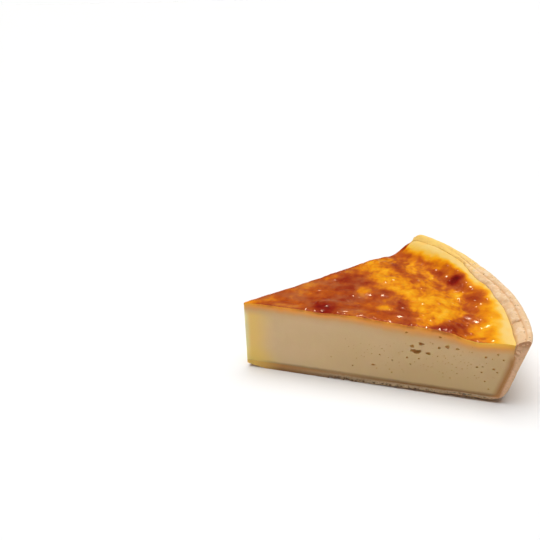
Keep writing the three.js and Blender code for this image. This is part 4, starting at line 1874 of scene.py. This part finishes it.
@dataclass(frozen=True)
class BrownedSkin:
    """The glossy skin of the custard, from pale yellow through amber to nearly black."""

    stops: Stops = (
        (0, tint(238, 203, 124)), (0.12, tint(240, 190, 78)), (0.27, tint(247, 172, 22)),
        (0.42, tint(231, 136, 5)), (0.56, tint(191, 88, 18)), (0.7, tint(161, 58, 13)),
        (0.84, tint(138, 22, 6)), (1, tint(98, 4, 3)),
    )
    flecks: float = 0.08
    fleck_size: float = 0.9
    fleck_span: Span = (0, 0.3)
    # painted sheen: a milky reflection laid over the browned skin towards the point
    painted_sheen: Wash = Wash(tint(160, 102, 70), (0.42, 0.64), 0.34)
    sheen_size: float = 9.0
    sheen_along: Span = (72, 45)
    sheen_brown: Span = (0.78, 0.62)
    glaze_span: Span = (0.08, 0.3)
    coat: float = 0.7
    coat_roughness: float = 0.17
    coat_ior: float = 1.22
    relief_size: float = 0.7
    surface: Surface = Surface((0.6, 0.35), 0.02, 0.05, 0.12, (1, 0.5, 0.2), 0.9)

    def material(self) -> bpy.types.Material:
        """Builds the finish.

        Returns:
            The material.
        """
        sheet = NodeSheet("browned_skin")
        brown = sheet.mark("browning")
        flecked = brown + sheet.drift(self.fleck_size, self.flecks) * brown.ease(*self.fleck_span)
        # painted sheen, towards the point and away from the darkest browning
        sheened = sheet.mark("along").ease(*self.sheen_along) * brown.ease(*self.sheen_brown)
        colour = self.painted_sheen.laid(sheet.noise(self.sheen_size), sheet.ramp(flecked, self.stops), sheened)
        glazed = brown.ease(*self.glaze_span)
        return sheet.finish(
            Base_Color=colour,
            Coat_Weight=glazed * self.coat,
            Coat_Roughness=self.coat_roughness,
            Coat_IOR=self.coat_ior,
            **self.surface.sockets(glazed, sheet.noise(self.relief_size, 2.0)),
        )


@dataclass(frozen=True)
class CutCustard:
    """Set custard where the knife went through it."""

    body: Colour = tint(235, 203, 156)
    dull: Wash = Wash(tint(231, 199, 150), (0.35, 0.7))
    dull_size: float = 14.0
    # painted glow of light through the thin point: yellower and paler towards it
    point: Wash = Wash(tint(254, 214, 118), (14, 2), 0.85)
    point_edge_glow: Wash = Wash(tint(255, 242, 200), (2.8, 0.2), 0.75)
    # painted shade: the cut face darker away from the point, most near the base, and more towards the crust
    shade: Colour = tint(209, 177, 124)
    shade_along: Span = (15, 65)
    shade_share: float = 0.55
    lit_rise: Span = (4, 20)
    lit_share: float = 0.6
    crust_shade_along: Span = (60, 80)
    crust_shade_share: float = 0.12
    # painted glow at the point, strongest low down near the base
    tip_glow: Wash = Wash(tint(255, 212, 112), (18, 4), 0.7)
    tip_glow_rise: Span = (8, 0.5)
    soaked: Colour = tint(180, 136, 86)
    steeped: Wash = Wash(tint(160, 112, 68), (42, 62))
    stained: Wash = Wash(tint(192, 128, 74), (2.4, 0.6))
    wet_rise: Span = (1.3, 0)
    wet_along: Span = (4, 16)
    wet_share: float = 0.8
    wet_drift: float = 0.6
    beside: Wash = Wash(tint(192, 128, 74), (2.9, 0.3), 0.8)
    beside_depth: Span = (0, 3)
    beside_drift: float = 0.8
    drift_size: float = 5.0
    # share of the rind's depth and colour
    rind: Stops = (
        (0.04, tint(246, 162, 44)), (0.24, tint(246, 174, 76)), (0.42, tint(240, 174, 94)),
        (0.62, tint(232, 177, 112)), (0.9, tint(228, 186, 132)),
    )
    rind_depth: float = 5.0
    rind_span: Span = (8, 2.6)
    rind_drift: float = 1.0
    rind_drift_size: float = 3.0
    rind_thinness: float = 1.35
    rind_along: Span = (25, 75)
    rind_thickening: float = 0.4
    corner_along: Span = (78, 92)
    corner_thinning: float = 0.1
    golden: Wash = Wash(tint(255, 194, 80), (2.7, 0.5), 0.95)
    burnt: Wash = Wash(tint(178, 88, 40), (1.8, 0.3), 0.7)
    burnt_brown: Span = (0.6, 0.85)
    speck: Wash = Wash(tint(210, 156, 66), (0.1, 0.05), 0.3)
    speck_size: float = 2.6
    speck_along: Span = (35, 70)
    speck_rise: Span = (2, 4)
    # painted shade inside the opened bubbles
    pit: Colour = tint(210, 156, 66)
    pore_shade_share: float = 0.6
    fine_size: float = 0.9
    surface: Surface = Surface((0.45, 0.65), 0.25, 0.06, 0.5, (1, 0.62, 0.22), 4)

    def material(self) -> bpy.types.Material:
        """Builds the finish.

        Returns:
            The material.
        """
        sheet = NodeSheet("cut_custard")
        along, soak, flank = sheet.mark("along"), sheet.mark("soak"), sheet.mark("flank")
        depth, fine = sheet.mark("depth"), sheet.noise(self.fine_size)
        colour = self.dull.laid(sheet.noise(self.dull_size, 2.0), self.body)
        # painted glow of light through the thin point
        colour = self.point.laid(along, colour)
        colour = self.point_edge_glow.laid(along, colour)
        # painted shade, darker away from the point and near the base, and more towards the crust
        shaded = along.ease(*self.shade_along) * (1.0 - soak.ease(*self.lit_rise) * self.lit_share)
        crust_shade = along.ease(*self.crust_shade_along) * self.crust_shade_share
        colour = sheet.mix(shaded * self.shade_share + crust_shade, colour, self.shade)
        # painted glow, low down at the point
        colour = self.tip_glow.laid(along, colour, soak.ease(*self.tip_glow_rise))

        wet_colour = self.stained.laid(flank, self.steeped.laid(along, self.soaked))
        wet = (soak + sheet.drift(self.drift_size, self.wet_drift)).ease(*self.wet_rise)
        colour = sheet.mix(wet * along.ease(*self.wet_along) * self.wet_share, colour, wet_colour)
        drifted = flank + sheet.drift(self.drift_size, self.beside_drift)
        colour = self.beside.laid(drifted, colour, depth.ease(*self.beside_depth))

        corner = along.ease(*self.corner_along)
        thinner = self.rind_thinness - along.ease(*self.rind_along) * self.rind_thickening
        thinner = thinner + corner * self.corner_thinning
        thickness = (depth + sheet.drift(self.rind_drift_size, self.rind_drift)) * thinner
        rind = self.golden.laid(thickness, sheet.ramp(thickness / self.rind_depth, self.rind), corner)
        colour = sheet.mix(thickness.ease(*self.rind_span), colour, rind)
        colour = self.burnt.laid(thickness, colour, sheet.mark("browning").ease(*self.burnt_brown))

        specked = along.ease(*self.speck_along) * soak.ease(*self.speck_rise)
        colour = self.speck.laid(sheet.cells(self.speck_size), colour, specked)
        # painted shade inside the opened bubbles
        colour = sheet.mix(sheet.mark("pore") * self.pore_shade_share, colour, self.pit)
        return sheet.finish(Base_Color=colour, **self.surface.sockets(fine, fine))


@dataclass(frozen=True)
class BakedPastry:
    """The dry baked outside of the crust."""

    TOAST: ClassVar[Colour] = tint(218, 164, 112)

    pale: Colour = tint(230, 193, 151)
    golden: Wash = Wash(tint(250, 207, 110), (-0.1, 0.6))
    golden_low: float = 0.35
    golden_rise: Span = (14, 28)
    golden_drift: float = 0.6
    mottled: Wash = Wash(TOAST, (0.45, 0.75), 0.3)
    mottle_size: float = 4.5
    grained: Wash = Wash(TOAST, (0.5, 0.75), 0.3)
    grain_size: float = 0.8
    grain_roughness: float = 0.65
    foot: Wash = Wash(TOAST, (12, 2), 0.5)
    foot_drift: float = 6.0
    bare_turns: Span = (0.65, 0.25)
    # painted highlights: pale spots over the lip and the ledge
    painted_highlights: Wash = Wash(tint(246, 220, 188), (0.52, 0.64), 0.5)
    highlight_size: float = 2.6
    highlight_rim: Span = (0, 0.1)
    # painted shade in the crease and in the folds of the ledge, in the toasted colour
    crease: Wash = Wash(TOAST, (0.65, 1), 0.7)
    speck: Wash = Wash(tint(128, 86, 58), (0.32, 0.16))
    speck_size: float = 1.5
    speck_patch_size: float = 2.2
    speck_patch: Span = (0.44, 0.54)
    speck_low: float = 0.15
    speck_rim: Span = (0.3, 0.8)
    speck_rim_share: float = 0.65
    speck_covered: float = 0.2
    # painted shade at the inner end of the ledge where it meets the custard, strongest towards the near cut
    stained: Wash = Wash(tint(222, 170, 90), (0.75, 1))
    ledge_shade_near: float = 0.6
    ledge_shade_turns: Span = (-0.58, -0.32)
    ledge_shade_fall: float = 0.55
    surface: Surface = Surface((0.62, 0.87), 0.25, 0.16, 0.12, (1, 0.5, 0.25), 0.8)

    def material(self) -> bpy.types.Material:
        """Builds the finish.

        Returns:
            The material.
        """
        sheet = NodeSheet("baked_pastry")
        rim, turn, low = sheet.mark("rim"), sheet.mark("turn"), sheet.mark("low")
        mottle = sheet.noise(self.mottle_size, 4.0)
        grain = sheet.noise(self.grain_size, 3.0, self.grain_roughness)
        bare = turn.ease(*self.bare_turns)
        high = self.golden_low + low.ease(*self.golden_rise) * (1.0 - self.golden_low)
        colour = self.golden.laid(turn + (mottle - 0.5) * self.golden_drift, self.pale, high)
        colour = self.mottled.laid(mottle, colour)
        colour = self.grained.laid(grain, colour)
        colour = self.foot.laid(low + mottle * self.foot_drift, colour)
        # painted highlights on the lip and the ledge
        colour = self.painted_highlights.laid(sheet.noise(self.highlight_size), colour, rim.ease(*self.highlight_rim) * bare)
        # painted shade in the crease and the folds
        colour = self.crease.laid(rim, colour, bare)
        shown = self.speck_low + rim.ease(*self.speck_rim) * self.speck_rim_share
        shown = shown * (self.speck_covered + bare * (1.0 - self.speck_covered))
        patches = sheet.noise(self.speck_patch_size).ease(*self.speck_patch)
        colour = self.speck.laid(sheet.cells(self.speck_size), colour, patches * shown)
        # painted shade where the ledge meets the custard
        wet = self.ledge_shade_near - turn.ease(*self.ledge_shade_turns) * self.ledge_shade_fall
        colour = self.stained.laid(sheet.mark("stain"), colour, wet)
        return sheet.finish(Base_Color=colour, **self.surface.sockets(grain, grain))


@dataclass(frozen=True)
class CutPastry:
    """The crumb of the crust where the knife went through it."""

    base_crumb: Colour = tint(208, 180, 144)
    wall_crumb: Wash = Wash(tint(238, 194, 154), (94, 100))
    rim_crumb: Wash = Wash(tint(202, 148, 108), (23, 26))
    pocket: Wash = Wash(tint(186, 146, 110), (0.46, 0.7))
    pocket_share: float = 0.8
    pocket_wall_share: float = 0.4
    grain_size: float = 0.9
    grain_roughness: float = 0.65
    stained: Wash = Wash(tint(204, 142, 88), (94, 100))
    # share of the way to the foot and colour of the soaked base; the yellow at the point is a painted glow of
    # light through the thin point
    soaked: Stops = (
        (0.03, tint(254, 206, 104)), (0.14, tint(206, 150, 92)), (0.36, tint(192, 150, 104)),
        (0.58, tint(160, 115, 73)),
    )
    length: float = 110.0
    soak_span: Span = (1.5, 0.4)
    soak_drift: float = 0.7
    soak_drift_size: float = 2.2
    soak_wall: float = 0.35
    point_along: Span = (44, 16)
    point_share: float = 0.9
    under: Wash = Wash(tint(92, 62, 44), (2.2, 0.2), 0.5)
    under_start: Span = (6, 16)
    under_end: Span = (56, 36)
    speck: Wash = Wash(tint(92, 62, 44), (0.58, 0.3), 0.95)
    speck_size: float = 1.1
    speck_low: Span = (1.7, 0.4)
    speck_along: Span = (28, 44)
    speck_patch_size: float = 3.0
    speck_patch: Span = (0.26, 0.38)
    surface: Surface = Surface((0.75, 0.95), 0.2, 0.2, 0.15, (1, 0.5, 0.25), 1)

    def material(self) -> bpy.types.Material:
        """Builds the finish.

        Returns:
            The material.
        """
        sheet = NodeSheet("cut_pastry")
        soak, low, along = sheet.mark("soak"), sheet.mark("low"), sheet.mark("along")
        grain = sheet.noise(self.grain_size, 4.0, self.grain_roughness)
        wall = along.ease(*self.wall_crumb.span)
        colour = self.wall_crumb.laid(along, self.base_crumb)
        colour = self.rim_crumb.laid(low, colour)
        colour = self.pocket.laid(grain, colour, self.pocket_share - wall * self.pocket_wall_share)
        wet = self.stained.laid(along, sheet.ramp(along / self.length, self.soaked))
        reach = soak + sheet.drift(self.soak_drift_size, self.soak_drift) + wall * self.soak_wall
        colour = sheet.mix(reach.ease(*self.soak_span), colour, wet)
        colour = sheet.mix(along.ease(*self.point_along) * self.point_share, colour, wet)
        under = along.ease(*self.under_start) * along.ease(*self.under_end)
        colour = self.under.laid(low, colour, under)
        edge = low.ease(*self.speck_low) * along.ease(*self.speck_along)
        patches = sheet.noise(self.speck_patch_size).ease(*self.speck_patch)
        colour = self.speck.laid(sheet.cells(self.speck_size), colour, edge * patches)
        return sheet.finish(Base_Color=colour, **self.surface.sockets(grain, grain))


@dataclass(frozen=True)
class Sun:
    """A soft light far above the slice.

    Its height above the horizon, its side from straight behind and its spread are in degrees.
    """

    name: str
    height: float
    side: float
    strength: float
    spread: float
    colour: Triple = (1, 1, 1)
    lights: bool = True
    shines: bool = True

    def build(self) -> None:
        """Adds the light to the scene."""
        data = bpy.data.lights.new(self.name, "SUN")
        data.energy = self.strength
        data.angle = math.radians(self.spread)
        data.color = self.colour
        light = new_object(self.name, data)
        up, across = math.radians(self.height), math.radians(self.side)
        towards = Vector((math.sin(across) * math.cos(up), math.cos(across) * math.cos(up), math.sin(up)))
        light.rotation_euler = towards.to_track_quat("Z", "Y").to_euler()
        light.visible_diffuse = self.lights
        light.visible_glossy = self.shines


@dataclass(frozen=True)
class Studio:
    """Pale floor, soft light from above and behind, and the camera."""

    eye: Triple = (-38.53, -257.68, 143.66)
    right: Triple = (0.98084, -0.19400, -0.01770)
    up: Triple = (0.08648, 0.35224, 0.93191)
    back: Triple = (-0.17455, -0.91558, 0.36226)
    approach: float = 3.0
    lens: float = 46.65
    nearest: float = 0.01
    farthest: float = 200.0
    floor_reach: float = 60.0
    floor_colour: Colour = (0.925, 0.925, 0.925, 1)
    floor_roughness: float = 0.9
    floor_specular: float = 0.1
    sky: Colour = (1, 1, 1, 1)
    suns: tuple[Sun, ...] = (
        Sun("key", 84, -10, 3.3, 66, shines=False),
        Sun("fill", 90, 0, 0.18, 180),
        Sun("spark", 57, 35, 5.5, 15, colour=(1, 0.84, 0.62), lights=False),
    )

    def set_camera(self, tip: Vector) -> None:
        """Places the camera where the picture was taken from.

        Args:
            tip: the slice's point in the frame, in metres.
        """
        data = bpy.data.cameras.new("camera")
        data.lens = self.lens
        data.clip_start = self.nearest
        data.clip_end = self.farthest
        camera = new_object("camera", data)
        turned = Matrix((self.right, self.up, self.back)).transposed().to_4x4()
        eye = Vector(self.eye) - Vector(self.back) * self.approach
        camera.matrix_world = Matrix.Translation(eye * METRES + tip) @ turned
        bpy.context.scene.camera = camera

    def lay_floor(self) -> bpy.types.Object:
        """Lays the floor.

        Returns:
            Its object.
        """
        reach = self.floor_reach
        mesh = bpy.data.meshes.new("floor")
        corners = [(-reach, -reach, 0.0), (reach, -reach, 0.0), (reach, reach, 0.0), (-reach, reach, 0.0)]
        mesh.from_pydata(corners, [], [(0, 1, 2, 3)])
        sheet = NodeSheet("pale_floor")
        finish = {"Roughness": self.floor_roughness, "Specular_IOR_Level": self.floor_specular}
        mesh.materials.append(sheet.finish(Base_Color=self.floor_colour, **finish))
        return new_object("floor", mesh)

    def set_sky(self) -> None:
        """Puts plain white behind the floor for the camera, which lights nothing."""
        world = bpy.data.worlds.new("sky")
        world.use_nodes = True
        ground = next(node for node in world.node_tree.nodes if node.type == "BACKGROUND")
        ground.inputs["Color"].default_value = self.sky
        world.cycles_visibility.diffuse = False
        world.cycles_visibility.glossy = False
        bpy.context.scene.world = world

    def build(self, tip: Vector) -> None:
        """Sets up camera, floor, lights and sky.

        Args:
            tip: the slice's point in the frame, in metres.
        """
        self.set_camera(tip)
        self.lay_floor()
        for sun in self.suns:
            sun.build()
        self.set_sky()
        bpy.context.scene.view_settings.view_transform = "Standard"


def slice_tip() -> Vector:
    """Finds the point of the slice in the frame, at table height."""
    corner = min((vertex.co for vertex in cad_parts["custard"].data.vertices), key=lambda place: place.x)
    return Vector((corner.x, corner.y, 0.0))


def report_piece(piece: bpy.types.Object) -> None:
    """Logs a finished piece."""
    LOG.info("%s: %d triangles", piece.name, len(piece.data.polygons))


def write_sizes() -> None:
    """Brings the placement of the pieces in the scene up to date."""
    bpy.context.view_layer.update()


def main() -> None:
    """Builds the slice piece by piece and sets it in the studio."""
    logging.basicConfig(level=logging.INFO, format="%(message)s")
    plan = SlicePlan()
    tip = slice_tip()

    baked, crumb = BakedPastry().material(), CutPastry().material()
    shell = PastryShell(plan).welded().to_object("flan_shell", tip, [baked, crumb])
    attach(shell, BODY)
    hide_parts("pastry_shell")
    report_piece(shell)

    skin, cut = BrownedSkin().material(), CutCustard().material()
    filling = CustardFilling(plan).welded().to_object("flan_custard", tip, [skin, cut])
    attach(filling, BODY)
    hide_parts("custard")
    report_piece(filling)

    crumbs = CrumbScatter(plan).welded().to_object("flan_crumbs", tip, [crumb])
    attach(crumbs, BODY)
    report_piece(crumbs)

    Studio().build(tip)
    write_sizes()


if __name__ == "__main__":
    main()
